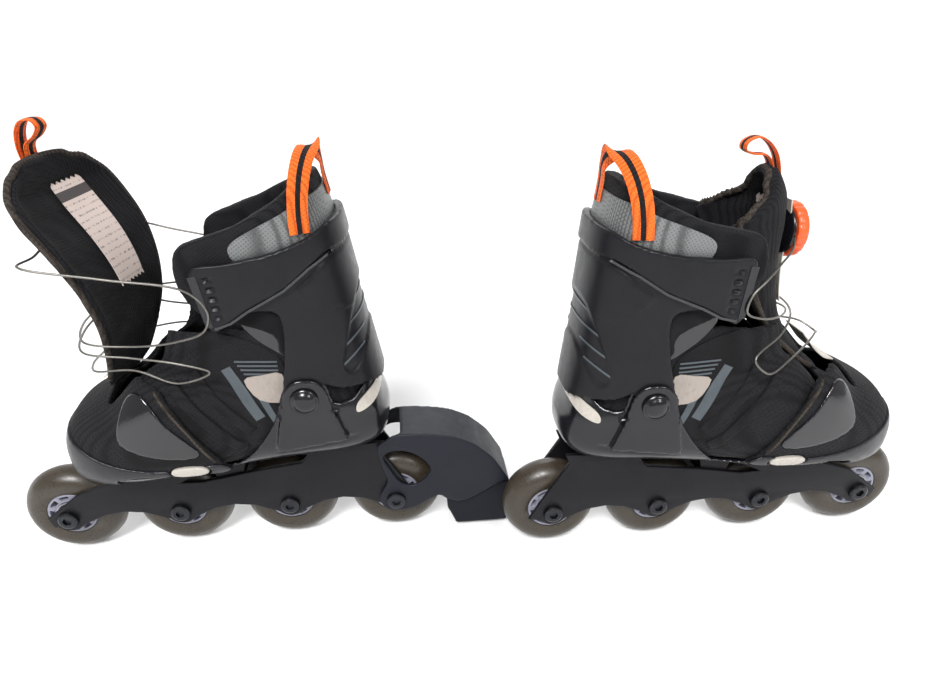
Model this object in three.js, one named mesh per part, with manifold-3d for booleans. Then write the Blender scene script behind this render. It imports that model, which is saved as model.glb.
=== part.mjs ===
import * as THREE from "three";
import { mergeVertices } from "three/addons/utils/BufferGeometryUtils.js";
import Module from "manifold-3d";

const wasm = await Module();
wasm.setup();
const { Manifold, Mesh: SolidMesh } = wasm;

// Sizes in millimetres. Each skate is built in its own frame: x runs to the toe, y to the
// outer side of the foot and z up, with the middle of the wheelbase at x 0 and the floor at z 0.
const WHEEL_DIAMETER = 70;
const WHEEL_PITCH = 79;
const WHEEL_WIDTH = 24;
const WHEEL_COUNT = 4;
const WHEEL_SIDES = 14;
const HUB_RADIUS = 17.2;
const HUB_BORE_RADIUS = 4.3;
const AXLE_RADIUS = 4;
const AXLE_HEAD_RADIUS = 7;
const AXLE_HEAD_LENGTH = 3;
const GAP = 0.3;
const RAIL_INNER = 13.5;
const RAIL_OUTER = 17;
const CHEEK_THICKNESS = 3;
const SHELL_IN = 0.3;
const SHELL_OUT = 3.3;
const CUFF_IN = 4.3;
const CUFF_OUT = 7.2;
const LOBE_OUT = 10.3;
const LOBE_RADIUS = 15;
const CAP_IN = 0.6;
const CAP_OUT = 3.6;
const TOE_TRAVEL = 24;
const UPPER_THICKNESS = 2.4;
const COLLAR_OUT = 3.3;
const COLLAR_IN = -8;
const PIVOT_X = -66;
const PIVOT_Z = 141;
const RIVET_RADIUS = 9;
const RIVET_SHAFT_RADIUS = 3;
const TONGUE_PIVOT_X = 58;
const TONGUE_PIVOT_Z = 143;
const TONGUE_AXIS_TILT = 30;
const TONGUE_THICKNESS = 7;
const DIAL_Z = 238;
const DIAL_RADIUS = 17.5;
const LACE_RADIUS = 0.7;
const BUTTON_LENGTH = 24;
const BUTTON_HEIGHT = 9;
const BUTTON_X = 14;
const BUTTON_Z = 91.5;
const SKATE_OFFSET_X = 175.5;
const SKATE_OFFSET_Y = 15.4;
const RING_POINTS = 14;

// Per skate: which way it faces, how far the toe is pulled out, how far the cuff leans
// forward and how far the tongue is swung open.
const SKATES = [
  { name: "left", turn: Math.PI, mirror: 1, x: -SKATE_OFFSET_X, y: SKATE_OFFSET_Y,
    toeOut: 0, cuffLean: 5, tongueOpen: 32, plateForward: 0, brake: true },
  { name: "right", turn: 0, mirror: -1, x: SKATE_OFFSET_X, y: -SKATE_OFFSET_Y,
    toeOut: 18, cuffLean: 0, tongueOpen: 0, plateForward: 8, brake: false },
];

// Foot sections: distance along the foot, half width, underside height and top height.
const FOOT = [
  [-112, 20, 99, 122],
  [-105, 29, 92, 138],
  [-86, 36, 89, 150],
  [-55, 39, 87, 158],
  [-20, 43, 84, 172],
  [10, 46, 80, 176],
  [35, 46, 77, 164],
  [54, 44, 76, 144],
  [72, 40, 76, 134],
  [86, 33, 77, 126],
  [93, 24.5, 80, 116],
  [97.5, 13, 86, 104],
];

// Leg sections: height, back, front and half width.
const LEG = [
  [100, -107, 0, 31],
  [114, -110, 14, 36],
  [136, -108.5, 30, 38],
  [160, -106, 34, 38],
  [180, -104, 27, 38],
  [205, -101, 20, 38],
  [235, -98, 17, 39],
  [257, -95, 16, 39],
  [285, -88, 16, 37],
];

const AXLE_Z = WHEEL_DIAMETER / 2;
const FIRST_AXLE = -WHEEL_PITCH * (WHEEL_COUNT - 1) / 2;

const MATERIALS = {
  plastic: [0x26272a, 0.45],
  gloss: [0x111114, 0.2],
  fabric: [0x17181a, 0.95],
  lining: [0x1c1d20, 0.95],
  tyre: [0x4b4238, 0.5],
  hub: [0x8d8b95, 0.4],
  steel: [0x33343a, 0.35],
  orange: [0xd8491f, 0.6],
  brake: [0x1d212c, 0.6],
  pad: [0x15161a, 0.8],
  silver: [0xb5b2ab, 0.4],
};

function material(slot) {
  const [color, roughness] = MATERIALS[slot];
  return new THREE.MeshStandardMaterial({ color, roughness, name: slot });
}

function toSolid(geometry) {
  const bare = new THREE.BufferGeometry();
  bare.setAttribute("position", geometry.getAttribute("position"));
  bare.setIndex(geometry.getIndex());
  const merged = mergeVertices(bare, 1e-4);
  const mesh = new SolidMesh({
    numProp: 3,
    vertProperties: new Float32Array(merged.getAttribute("position").array),
    triVerts: new Uint32Array(merged.getIndex().array),
  });
  return new Manifold(mesh);
}

function toGeometry(solid) {
  const mesh = solid.getMesh();
  const geometry = new THREE.BufferGeometry();
  geometry.setAttribute("position", new THREE.BufferAttribute(mesh.vertProperties, 3));
  geometry.setIndex(new THREE.BufferAttribute(mesh.triVerts, 1));
  geometry.computeVertexNormals();
  return geometry;
}

// Closed skin over a row of rings that all have the same number of points.
function loft(rings) {
  const count = rings[0].length;
  const positions = [];
  const indices = [];
  for (const ring of rings) {
    for (const point of ring) {
      positions.push(...point);
    }
  }
  for (let i = 0; i < rings.length - 1; i++) {
    for (let j = 0; j < count; j++) {
      const a = i * count + j;
      const b = i * count + (j + 1) % count;
      indices.push(a, b, a + count);
      indices.push(b, b + count, a + count);
    }
  }
  for (const end of [0, rings.length - 1]) {
    const ring = rings[end];
    const middle = [0, 1, 2].map((k) => ring.reduce((sum, p) => sum + p[k], 0) / count);
    const centre = positions.length / 3;
    positions.push(...middle);
    for (let j = 0; j < count; j++) {
      const a = end * count + j;
      const b = end * count + (j + 1) % count;
      indices.push(centre, end === 0 ? b : a, end === 0 ? a : b);
    }
  }
  const geometry = new THREE.BufferGeometry();
  geometry.setAttribute("position", new THREE.BufferAttribute(new Float32Array(positions), 3));
  geometry.setIndex(indices);
  return toOutward(geometry);
}

function toOutward(geometry) {
  const position = geometry.getAttribute("position");
  const index = geometry.getIndex();
  const [a, b, c] = [new THREE.Vector3(), new THREE.Vector3(), new THREE.Vector3()];
  let volume = 0;
  for (let i = 0; i < index.count; i += 3) {
    a.fromBufferAttribute(position, index.getX(i));
    b.fromBufferAttribute(position, index.getX(i + 1));
    c.fromBufferAttribute(position, index.getX(i + 2));
    volume += a.dot(b.cross(c));
  }
  if (volume < 0) {
    for (let i = 0; i < index.count; i += 3) {
      const keep = index.getX(i);
      index.setX(i, index.getX(i + 1));
      index.setX(i + 1, keep);
    }
  }
  return toSolid(geometry);
}

function power(value, exponent) {
  return Math.sign(value) * Math.abs(value) ** exponent;
}

// Rounded box outline: a circle squared off by an exponent.
function roundedRing(halfA, halfB, exponentFor, place) {
  const ring = [];
  for (let i = 0; i < RING_POINTS; i++) {
    const angle = 2 * Math.PI * (i + 0.5) / RING_POINTS;
    const exponent = 2 / exponentFor(angle);
    ring.push(place(halfA * power(Math.cos(angle), exponent), halfB * power(Math.sin(angle), exponent)));
  }
  return ring;
}

function footSolid(offset) {
  const rings = FOOT.map(([x, half, low, high], i) => {
    const shift = i === 0 ? -offset : i === FOOT.length - 1 ? offset : 0;
    const middle = (low + high) / 2;
    const shape = (angle) => (Math.sin(angle) < 0 ? 3.4 : 2.3);
    return roundedRing(half + offset, (high - low) / 2 + offset, shape,
      (y, z) => [x + shift, y, middle + z]);
  });
  return loft(rings);
}

function legSolid(offset) {
  const rings = LEG.map(([z, back, front, half]) => roundedRing(
    (front - back) / 2 + offset, half + offset, () => 2.9,
    (x, y) => [(back + front) / 2 + x, y, z]));
  return loft(rings);
}

const bootCache = new Map();
function bootSolid(offset) {
  if (!bootCache.has(offset)) {
    bootCache.set(offset, footSolid(offset).add(legSolid(offset)));
  }
  return bootCache.get(offset);
}

// Side outline given as x, z points, run across the skate between two y values.
function sideBlock(points, yLow, yHigh) {
  const shape = new THREE.Shape(points.map(([x, z]) => new THREE.Vector2(x, z)));
  const geometry = new THREE.ExtrudeGeometry(shape, { depth: yHigh - yLow, bevelEnabled: false });
  geometry.rotateX(Math.PI / 2);
  geometry.translate(0, yHigh, 0);
  return toSolid(mergeVertices(stripped(geometry), 1e-4));
}

function stripped(geometry) {
  const bare = new THREE.BufferGeometry();
  bare.setAttribute("position", geometry.getAttribute("position"));
  if (geometry.getIndex()) {
    bare.setIndex(geometry.getIndex());
  }
  return bare;
}

function box(low, high) {
  const size = high.map((value, i) => value - low[i]);
  const geometry = new THREE.BoxGeometry(...size);
  geometry.translate(...low.map((value, i) => value + size[i] / 2));
  return toSolid(geometry);
}

// Turned body: profile points are radius and distance along y, or along x with alongX.
function turned(profile, segments, x, y, z, alongX = false, turn = 0) {
  const points = profile.map(([radius, along]) => new THREE.Vector2(radius, along));
  const geometry = new THREE.LatheGeometry(points, segments);
  geometry.rotateY(turn);
  if (alongX) {
    geometry.rotateZ(-Math.PI / 2);
  }
  geometry.translate(x, y, z);
  return toOutward(mergeVertices(stripped(geometry), 1e-4));
}

function disc(radius, low, high) {
  return [[0, low], [radius, low], [radius, high], [0, high]];
}

function circlePoints(cx, cz, radius, count, from = 0, to = 2 * Math.PI) {
  const points = [];
  for (let i = 0; i < count; i++) {
    const angle = from + (to - from) * i / (to - from < 6.28 ? count - 1 : count);
    points.push([cx + radius * Math.cos(angle), cz + radius * Math.sin(angle)]);
  }
  return points;
}

// Flat ribbon along a route: each stop is a point and the direction the ribbon's width runs in.
function ribbon(stops, width, thickness) {
  const rings = stops.map(([point, across], i) => {
    const here = new THREE.Vector3(...point);
    const before = new THREE.Vector3(...stops[Math.max(i - 1, 0)][0]);
    const after = new THREE.Vector3(...stops[Math.min(i + 1, stops.length - 1)][0]);
    const along = after.sub(before).normalize();
    const side = new THREE.Vector3(...across).normalize();
    const face = new THREE.Vector3().crossVectors(along, side).normalize();
    side.crossVectors(face, along).normalize();
    return [[1, 1], [-1, 1], [-1, -1], [1, -1]].map(([s, t]) => here.clone()
      .addScaledVector(side, s * width / 2).addScaledVector(face, t * thickness / 2).toArray());
  });
  return loft(rings);
}

// ---- frame, wheels and brake ----

const RAIL_TOP = [[-112, 85.5], [-86, 84.6], [-55, 82.6], [-20, 79.6], [10, 75.4], [35, 72.6],
  [61, 71.6], [66, 66], [81, 65], [107, 56], [133, 36], [130, 27]];

function railOutline() {
  const low = [];
  for (let i = WHEEL_COUNT - 1; i >= 0; i--) {
    const x = FIRST_AXLE + i * WHEEL_PITCH;
    low.push(...circlePoints(x, AXLE_Z, 11, 4, -0.2 * Math.PI, -0.8 * Math.PI));
    if (i > 0) {
      low.push([x - WHEEL_PITCH / 2, AXLE_Z - 2]);
    }
  }
  return [...RAIL_TOP, ...low, [-136, 30], [-122, 56], [-109, 78]];
}

function frameSolid() {
  let body = sideBlock(railOutline(), RAIL_INNER, RAIL_OUTER);
  body = body.add(sideBlock(railOutline(), -RAIL_OUTER, -RAIL_INNER));
  const slot = [[-58, 78], [-50, 80], [-14, 75.5], [20, 68], [35, 60.5], [20, 60], [-12, 66], [-52, 71.5]];
  body = body.subtract(sideBlock(slot, -30, 30));
  const bridges = [
    [[-93, 84.9], [-65, 83.2], [-65, 74], [-72, 58], [-86, 58], [-93, 74]],
    [[-13, 78.6], [13, 74.9], [8, 57], [-8, 57]],
    [[66, 65.6], [81, 64.6], [86, 60], [84, 52], [73, 52]],
  ];
  for (const outline of bridges) {
    body = body.add(sideBlock(outline, -RAIL_INNER - 1, RAIL_INNER + 1));
  }
  for (let i = 0; i < WHEEL_COUNT; i++) {
    const hole = turned(disc(AXLE_RADIUS + 2 * GAP, -30, 30), 10, FIRST_AXLE + i * WHEEL_PITCH, 0, AXLE_Z);
    body = body.subtract(hole);
  }
  return body;
}

function tyreSolid(x) {
  const outer = WHEEL_DIAMETER / 2 / Math.cos(Math.PI / WHEEL_SIDES);
  const half = WHEEL_WIDTH / 2;
  const inner = HUB_RADIUS + GAP;
  const profile = [[inner, -half], [25, -half], [31.5, -half * 0.72], [outer, -1.5],
    [outer, 1.5], [31.5, half * 0.72], [25, half], [inner, half], [inner, -half]];
  return turned(profile, WHEEL_SIDES, x, 0, AXLE_Z, false, Math.PI / WHEEL_SIDES);
}

function hubSolid(x) {
  const half = WHEEL_WIDTH / 2;
  const profile = [[HUB_BORE_RADIUS, -half], [11, -half], [13, -half + 3], [HUB_RADIUS, -half + 1],
    [HUB_RADIUS, half - 1], [13, half - 3], [11, half], [HUB_BORE_RADIUS, half], [HUB_BORE_RADIUS, -half]];
  return turned(profile, WHEEL_SIDES, x, 0, AXLE_Z, false, Math.PI / WHEEL_SIDES);
}

function axleSolid(x, extra) {
  const seat = RAIL_OUTER + GAP + extra;
  const end = seat + AXLE_HEAD_LENGTH;
  const profile = [[0, -end], [AXLE_HEAD_RADIUS - 0.6, -end], [AXLE_HEAD_RADIUS, -seat],
    [AXLE_RADIUS, -seat], [AXLE_RADIUS, seat], [AXLE_HEAD_RADIUS, seat],
    [AXLE_HEAD_RADIUS - 0.6, end], [0, end]];
  const body = turned(profile, 10, x, 0, AXLE_Z);
  const socket = turned(disc(3, end - 1.6, end + 5), 6, x, 0, AXLE_Z);
  return body.subtract(socket);
}

function brakeArmSolid() {
  const outline = [[-107, 82], [-112, 87], [-122, 92.5], [-139, 92], [-154, 90], [-165, 87], [-177, 81],
    [-184, 75], [-192, 67], [-200, 54], [-204, 46], [-198, 45], [-171, 29.5], [-157, 32], [-150, 36],
    [-134, 27], [-124, 24.5], [-113, 25], [-107.5, 31], [-107, 40], [-113, 52], [-110, 64]];
  const window = [[-111, 74], [-119, 79], [-130, 77], [-139, 71], [-145, 61], [-140, 52], [-131, 47],
    [-122, 51], [-116, 62]];
  const outside = RAIL_OUTER + GAP + CHEEK_THICKNESS;
  let body = sideBlock(outline, -outside, outside);
  body = body.subtract(sideBlock(window, -outside - 1, outside + 1));
  const channel = [[-90, 0], [-90, 98], [-112, 98], [-140, 84], [-152, 72], [-157, 55], [-157, 0]];
  body = body.subtract(sideBlock(channel, -RAIL_OUTER - GAP, RAIL_OUTER + GAP));
  return body.subtract(turned(disc(AXLE_RADIUS + 2 * GAP, -40, 40), 10, FIRST_AXLE, 0, AXLE_Z));
}

function brakePadSolid() {
  const outline = [[-157, 29], [-171, 27], [-198, 42.6], [-205, 43.5], [-207, 30], [-204, 4],
    [-164, 4], [-160, 14], [-157.5, 19]];
  return sideBlock(outline, -16, 16);
}

// ---- boot ----

const SHELL_SIDE = [[-130, 60], [-130, 147], [-108, 144], [-95, 134], [-82, 134], [-78, 148],
  [-66, 152], [-54, 148], [-49, 139], [-44, 124], [-31, 105], [-16, 90], [-8.5, 85.4], [61.5, 85.4], [61.5, 60]];

function shellSolid() {
  const outside = bootSolid(SHELL_OUT);
  let body = outside.subtract(bootSolid(SHELL_IN)).intersect(sideBlock(SHELL_SIDE, -80, 80));
  const web = [[-90, 104], [-46, 104], [-50, 128], [-52, PIVOT_Z], [-80, PIVOT_Z], [-83, 128]];
  const disk = circlePoints(PIVOT_X, PIVOT_Z, LOBE_RADIUS, 14);
  const lobeArea = sideBlock(web, -80, 80).add(sideBlock(disk, -80, 80));
  let lobe = bootSolid(LOBE_OUT).subtract(bootSolid(SHELL_OUT - 0.5)).intersect(lobeArea);
  const slotDisk = circlePoints(PIVOT_X, PIVOT_Z, LOBE_RADIUS + 1, 14);
  const slotArea = sideBlock(slotDisk, -80, 80).add(sideBlock(
    [[-100, 130], [-40, 130], [-40, 170], [-100, 170]], -80, 80));
  const slot = bootSolid(CUFF_OUT + 0.6).subtract(bootSolid(SHELL_OUT)).intersect(slotArea);
  lobe = lobe.subtract(slot);
  body = body.add(lobe);
  for (const side of [-1, 1]) {
    const shaft = turned(disc(RIVET_SHAFT_RADIUS + 2 * GAP, 20, 70), 10, PIVOT_X, 0, PIVOT_Z);
    const pocket = turned(disc(RIVET_RADIUS + 2 * GAP, 47, 70), 14, PIVOT_X, 0, PIVOT_Z);
    const cut = shaft.add(pocket);
    body = body.subtract(side > 0 ? cut : cut.mirror([0, 1, 0]));
  }
  return body;
}

function rivetSolid(side) {
  const profile = [[0, 39.4], [RIVET_SHAFT_RADIUS, 39.4], [RIVET_SHAFT_RADIUS, 47.3],
    [RIVET_RADIUS, 47.3], [RIVET_RADIUS, 49], [RIVET_RADIUS - 2.5, 50.1], [0, 50.4]];
  const body = turned(profile, 14, PIVOT_X, 0, PIVOT_Z);
  return side > 0 ? body : body.mirror([0, 1, 0]);
}

const CUFF_SIDE = [[-130, 140], [-104, 140], [-88, 143], [-79, 148], [-77.5, 141], [-74, 133], [-66, 129.5],
  [-58, 133], [-54.5, 141], [-54, 150], [-59, 170], [-63, 192], [-60, 202], [-45, 204], [-30, 199],
  [-22, 196.5], [-19, 233], [-39, 236], [-63, 238], [-87, 243], [-102, 249], [-130, 251]];

function cuffSolid() {
  let body = bootSolid(CUFF_OUT).subtract(bootSolid(CUFF_IN)).intersect(sideBlock(CUFF_SIDE, -80, 80));
  const hole = turned(disc(RIVET_SHAFT_RADIUS + 2 * GAP, -70, 70), 10, PIVOT_X, 0, PIVOT_Z);
  return body.subtract(hole);
}

const COLLAR_SIDE = [[-130, 168], [-130, 273], [-88, 272], [-71, 264], [-54, 257], [-34, 251], [-12, 244],
  [-8, 225], [-14, 200], [-26, 190], [-40, 178], [-60, 168]];

function collarSolid() {
  return legSolid(COLLAR_OUT).subtract(legSolid(COLLAR_IN)).intersect(sideBlock(COLLAR_SIDE, -80, 80));
}

const UPPER_SIDE = [[-130, 60], [-130, 150], [-60, 150], [-44, 158], [-34, 168], [-22, 179], [-8, 184],
  [40, 184], [60, 160], [80, 150], [80, 60]];

function upperSolid() {
  let body = bootSolid(0).subtract(bootSolid(-UPPER_THICKNESS)).intersect(sideBlock(UPPER_SIDE, -80, 80));
  const throat = box([-60, -27, 120], [61, 27, 260]);
  return body.subtract(throat);
}

const CAP_SIDE = [[-7, 86], [-7, 98], [5, 119], [17, 142], [23, 152], [40, 158], [62, 170], [140, 170],
  [140, 50], [62.5, 50], [62.5, 86]];

// The toe cap clears the foot over its whole travel, so its form is the foot at several stages of it.
function capForm(offset) {
  const stages = [0, 0.33, 0.67, 1];
  return stages.map((t) => footSolid(offset).translate([-TOE_TRAVEL * t, 0, 0]))
    .reduce((sum, foot) => sum.add(foot));
}

function toeCapSolid() {
  let body = capForm(CAP_OUT).subtract(capForm(CAP_IN)).intersect(sideBlock(CAP_SIDE, -80, 80));
  body = body.subtract(box([0, -30, 110], [60.5, 30, 200]));
  const hole = buttonOutline(BUTTON_LENGTH + 2 * GAP, BUTTON_HEIGHT + 2 * GAP);
  return body.subtract(sideBlock(hole, 20, 80));
}

function buttonOutline(length, height) {
  return circlePoints(0, 0, 1, 18).map(([a, b]) => [BUTTON_X + a * length / 2, BUTTON_Z + b * height / 2]);
}

function buttonSolid() {
  return capForm(CAP_OUT + 1.6).subtract(capForm(CAP_IN + 1.4))
    .intersect(sideBlock(buttonOutline(BUTTON_LENGTH, BUTTON_HEIGHT), 20, 80));
}

function footbedSolid() {
  const outline = [[-106, 60], [-106, 97], [-45, 97], [0, 92], [40, 87.5], [78, 86], [78, 60]];
  return bootSolid(-UPPER_THICKNESS - GAP).intersect(sideBlock(outline, -80, 80));
}

// ---- tongue ----

// Tongue stops: height and thickness, then the front face, half width and how far the edges
// wrap back, first for the tongue folded round the shin and then for it spread flat.
const TONGUE = [
  [146.5, 3, 58, 19, 2, 58, 19, 2],
  [157, TONGUE_THICKNESS, 46, 21, 4, 46, 23, 3],
  [171, TONGUE_THICKNESS, 34, 22, 8, 33, 28, 5],
  [186, TONGUE_THICKNESS, 25, 23, 14, 22, 33, 7],
  [205, TONGUE_THICKNESS, 20, 25, 22, 14.5, 38, 9],
  [225, TONGUE_THICKNESS, 18, 27, 32, 12, 42, 11],
  [248, TONGUE_THICKNESS, 17.5, 27, 40, 13, 43, 12],
  [264, TONGUE_THICKNESS, 14.5, 26, 38, 12, 39, 11],
  [275, TONGUE_THICKNESS, 8, 19, 24, 7, 30, 8],
  [279, 5, 1, 9, 8, 2, 17, 3],
];

function tongueStop(i, spread) {
  const [z, thick, ...shapes] = TONGUE[i];
  const [x, half, wrap] = spread ? shapes.slice(3) : shapes.slice(0, 3);
  return { x, z, thick, half, wrap };
}

function tongueFrame(i, spread) {
  const before = tongueStop(Math.max(i - 1, 0), spread);
  const after = tongueStop(Math.min(i + 1, TONGUE.length - 1), spread);
  const along = new THREE.Vector2(after.x - before.x, after.z - before.z).normalize();
  return { along, back: new THREE.Vector2(-along.y, along.x) };
}

function tongueSolid(spread) {
  const steps = 8;
  const rings = TONGUE.map((row, i) => {
    const { x, z, thick, half, wrap } = tongueStop(i, spread);
    const { back } = tongueFrame(i, spread);
    const ring = [];
    for (let k = 0; k <= steps; k++) {
      const t = -1 + 2 * k / steps;
      const depth = wrap * (1 - Math.sqrt(1 - 0.96 * t * t)) / 0.8;
      ring.push([x + back.x * depth, half * t, z + back.y * depth]);
    }
    for (let k = steps; k >= 0; k--) {
      const t = -1 + 2 * k / steps;
      const inner = 1 - 0.35 * Math.abs(t) ** 3;
      const depth = wrap * (1 - Math.sqrt(1 - 0.96 * t * t)) / 0.8 + thick * inner;
      const narrow = 1 - 0.12 * Math.abs(t);
      ring.push([x + back.x * depth, half * t * narrow, z + back.y * depth]);
    }
    return ring;
  });
  const body = loft(rings);
  const pull = ribbon([
    [[8, 0, 270], [0, 1, 0]], [[8, 0, 280], [0, 1, 0]], [[3, 0, 288], [0, 1, 0]],
    [[-6, 0, 293], [0, 1, 0]], [[-14, 0, 292], [0, 1, 0]], [[-15, 0, 287], [0, 1, 0]],
    [[-6, 0, 284], [0, 1, 0]], [[3, 0, 281], [0, 1, 0]], [[6, 0, 274], [0, 1, 0]]], 9, 1.4);
  return body.add(pull);
}

function tongueFace(height, spread) {
  let i = 0;
  while (i < TONGUE.length - 2 && TONGUE[i + 1][0] < height) {
    i += 1;
  }
  const [a, b] = [tongueStop(i, spread), tongueStop(i + 1, spread)];
  return a.x + (b.x - a.x) * (height - a.z) / (b.z - a.z);
}

function tonguePlateSolid(spread) {
  const lift = 1.6;
  const stops = [192, 200, 215, 232, 247, 258].map((height) => [
    [tongueFace(height, spread) + lift, 0, height], [0, 1, 0]]);
  const profile = [[0, 0.6], [13, 0.6], [15, 1.8], [15, 3.1], [0, 3.1]];
  const base = turned(profile, 14, tongueFace(DIAL_Z, spread), 0, DIAL_Z, true);
  return ribbon(stops, 16, 2).add(base);
}

function dialSpoolSolid(spread) {
  return turned(disc(8, 3.4, 6.1), 12, tongueFace(DIAL_Z, spread), 0, DIAL_Z, true);
}

function dialKnobSolid(spread) {
  const r = DIAL_RADIUS;
  const profile = [[0, 6.4], [8.4, 6.4], [8.4, 3.5], [r - 1, 3.5], [r, 4.8], [r, 9], [r - 2, 10.8],
    [r - 7, 10], [0, 10]];
  return turned(profile, 16, tongueFace(DIAL_Z, spread), 0, DIAL_Z, true);
}

function lacePlateSolid(forward) {
  const stops = [[65, 148.5], [58, 150.3], [50, 156.6], [44, 163.2], [38, 170]];
  const body = ribbon(stops.map(([x, z]) => [[x + forward * 0.85, 0, z + 1.2 - forward * 0.2], [0, 1, 0]]), 22, 2);
  return body;
}

// ---- straps and lace ----

function heelLoopSolid() {
  const route = [
    [[-99.4, -6, 258], [0, 1, 0]], [[-98, -6, 270], [0, 1, 0]], [[-98, -5, 279], [0, 1, 0.1]],
    [[-97.5, 1, 286], [0.3, 1, 0]], [[-95.5, 11, 289], [0.6, 0.8, 0]], [[-92.5, 22, 286], [0.8, 0.6, 0]],
    [[-89.5, 31, 278], [0.9, 0.45, 0]], [[-87, 35.8, 268], [0.9, 0.43, 0]],
    [[-85, 37, 257], [0.9, 0.43, 0]], [[-84, 37.4, 245.5], [0.9, 0.43, 0]],
  ];
  const centre = new THREE.CatmullRomCurve3(route.map(([p]) => new THREE.Vector3(...p)));
  const across = new THREE.CatmullRomCurve3(route.map(([, w]) => new THREE.Vector3(...w)));
  const stops = Array.from({ length: 46 }, (_, i) => [
    centre.getPoint(i / 45).toArray(), across.getPoint(i / 45).toArray()]);
  return ribbon(stops, 12, 1.4);
}

function laceRoute(open) {
  if (open) {
    return [[68.8, 21.1, 245.8], [74, 34, 238], [76, 50, 237], [34, 50, 228], [-8, 47.5, 218], [-18, 48, 205],
      [-14, 48, 193], [4, 46, 186], [32, 41, 182], [61, 36, 184], [68, 16, 188], [64, -8, 190],
      [52, -30, 187], [32, -40, 178], [6, -47, 171], [-12, -47, 167], [0, -47, 159], [32, -38, 163],
      [56, -27, 162], [67, -12, 160], [70.5, 1, 159], [69, 17, 160], [61, 32, 162], [36, 37, 164],
      [8, 46, 158], [-12, 47, 165], [6, 47, 172], [34, 42, 175], [63, 37, 178], [69, 14, 183],
      [62, -12, 188], [46, -34, 192], [14, -46, 192], [-14, -48, 195], [-18, -48, 206],
      [-8, -47.5, 219], [26, -46, 230], [52, -44, 238], [57, -30, 243], [60.4, -10.5, 248.6],
    ];
  }
  return [[19.5, 16.4, 237.6], [14.5, 25, 233], [1, 37, 227], [-10, 45, 221], [-19, 48.3, 213],
    [-20, 48.3, 203], [-8, 45, 197], [14, 29, 191], [30, 6, 187], [28.5, -14, 184], [14, -34, 178],
    [-8, -48, 171], [2, -48.5, 161], [24, -34, 162], [44, -20, 168], [54, -10, 169], [61, 0, 165],
    [54, 10, 169], [44, 20, 168], [24, 34, 162], [2, 48.5, 161], [-8, 48, 171], [14, 34, 181],
    [28.5, 16, 188], [30, -5, 191], [14, -29, 194], [-8, -45, 199], [-20, -48.3, 205],
    [-19, -48.3, 215], [-10, -45, 223], [1, -37, 229], [14.5, -25, 235], [19.5, -16.4, 238.4],
  ];
}

function laceSolid(skate) {
  const points = laceRoute(skate.tongueOpen > 0).map((p) => new THREE.Vector3(...p));
  const path = new THREE.CatmullRomCurve3(points, false, "centripetal");
  const shape = new THREE.Shape(circlePoints(0, 0, LACE_RADIUS, 8).map(([a, b]) => new THREE.Vector2(a, b)));
  const geometry = new THREE.ExtrudeGeometry(shape, { steps: 50, extrudePath: path, bevelEnabled: false });
  return toOutward(mergeVertices(stripped(geometry), 1e-4));
}

// ---- assembly ----

// A swung group: what it holds keeps the boot's own coordinates and turns about the hinge.
function hingeGroup(name, x, z, tilt, degrees) {
  const hinge = new THREE.Group();
  const axis = new THREE.Vector3(0, Math.cos(THREE.MathUtils.degToRad(tilt)),
    -Math.sin(THREE.MathUtils.degToRad(tilt)));
  hinge.name = name;
  hinge.position.set(x, 0, z);
  hinge.quaternion.setFromAxisAngle(axis, THREE.MathUtils.degToRad(degrees));
  const held = new THREE.Group();
  held.name = name + "_held";
  held.position.set(-x, 0, -z);
  hinge.add(held);
  return { hinge, held };
}

function skateParts(skate) {
  const parts = [];
  const put = (name, slot, solid, swung = "") => parts.push([name, slot, solid, swung]);
  put("frame", "plastic", frameSolid());
  for (let i = 0; i < WHEEL_COUNT; i++) {
    const x = FIRST_AXLE + i * WHEEL_PITCH;
    const extra = skate.brake && i === 0 ? CHEEK_THICKNESS + GAP : 0;
    put("tyre_" + (i + 1), "tyre", tyreSolid(x));
    put("hub_" + (i + 1), "hub", hubSolid(x));
    put("axle_" + (i + 1), "steel", axleSolid(x, extra));
  }
  put("shell", "gloss", shellSolid());
  put("toe_box", "gloss", toeCapSolid().translate([skate.toeOut, 0, 0]));
  put("size_button", "silver", buttonSolid().translate([skate.toeOut, 0, 0]));
  put("cuff", "plastic", cuffSolid(), "cuff");
  put("collar", "lining", collarSolid(), "cuff");
  put("heel_loop", "orange", heelLoopSolid(), "cuff");
  put("rivet_outer", "gloss", rivetSolid(1));
  put("rivet_inner", "gloss", rivetSolid(-1));
  put("upper", "fabric", upperSolid());
  put("footbed", "lining", footbedSolid());
  const spread = skate.tongueOpen > 0;
  put("tongue", "fabric", tongueSolid(spread), "tongue");
  put("tongue_plate", "silver", tonguePlateSolid(spread), "tongue");
  put("dial_spool", "steel", dialSpoolSolid(spread), "tongue");
  put("dial_knob", "orange", dialKnobSolid(spread), "tongue");
  put("lace_plate", "steel", lacePlateSolid(skate.plateForward), "tongue");
  put("lace", "steel", laceSolid(skate));
  if (skate.brake) {
    put("brake_arm", "brake", brakeArmSolid());
    put("brake_pad", "pad", brakePadSolid());
  }
  return parts;
}

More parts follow.
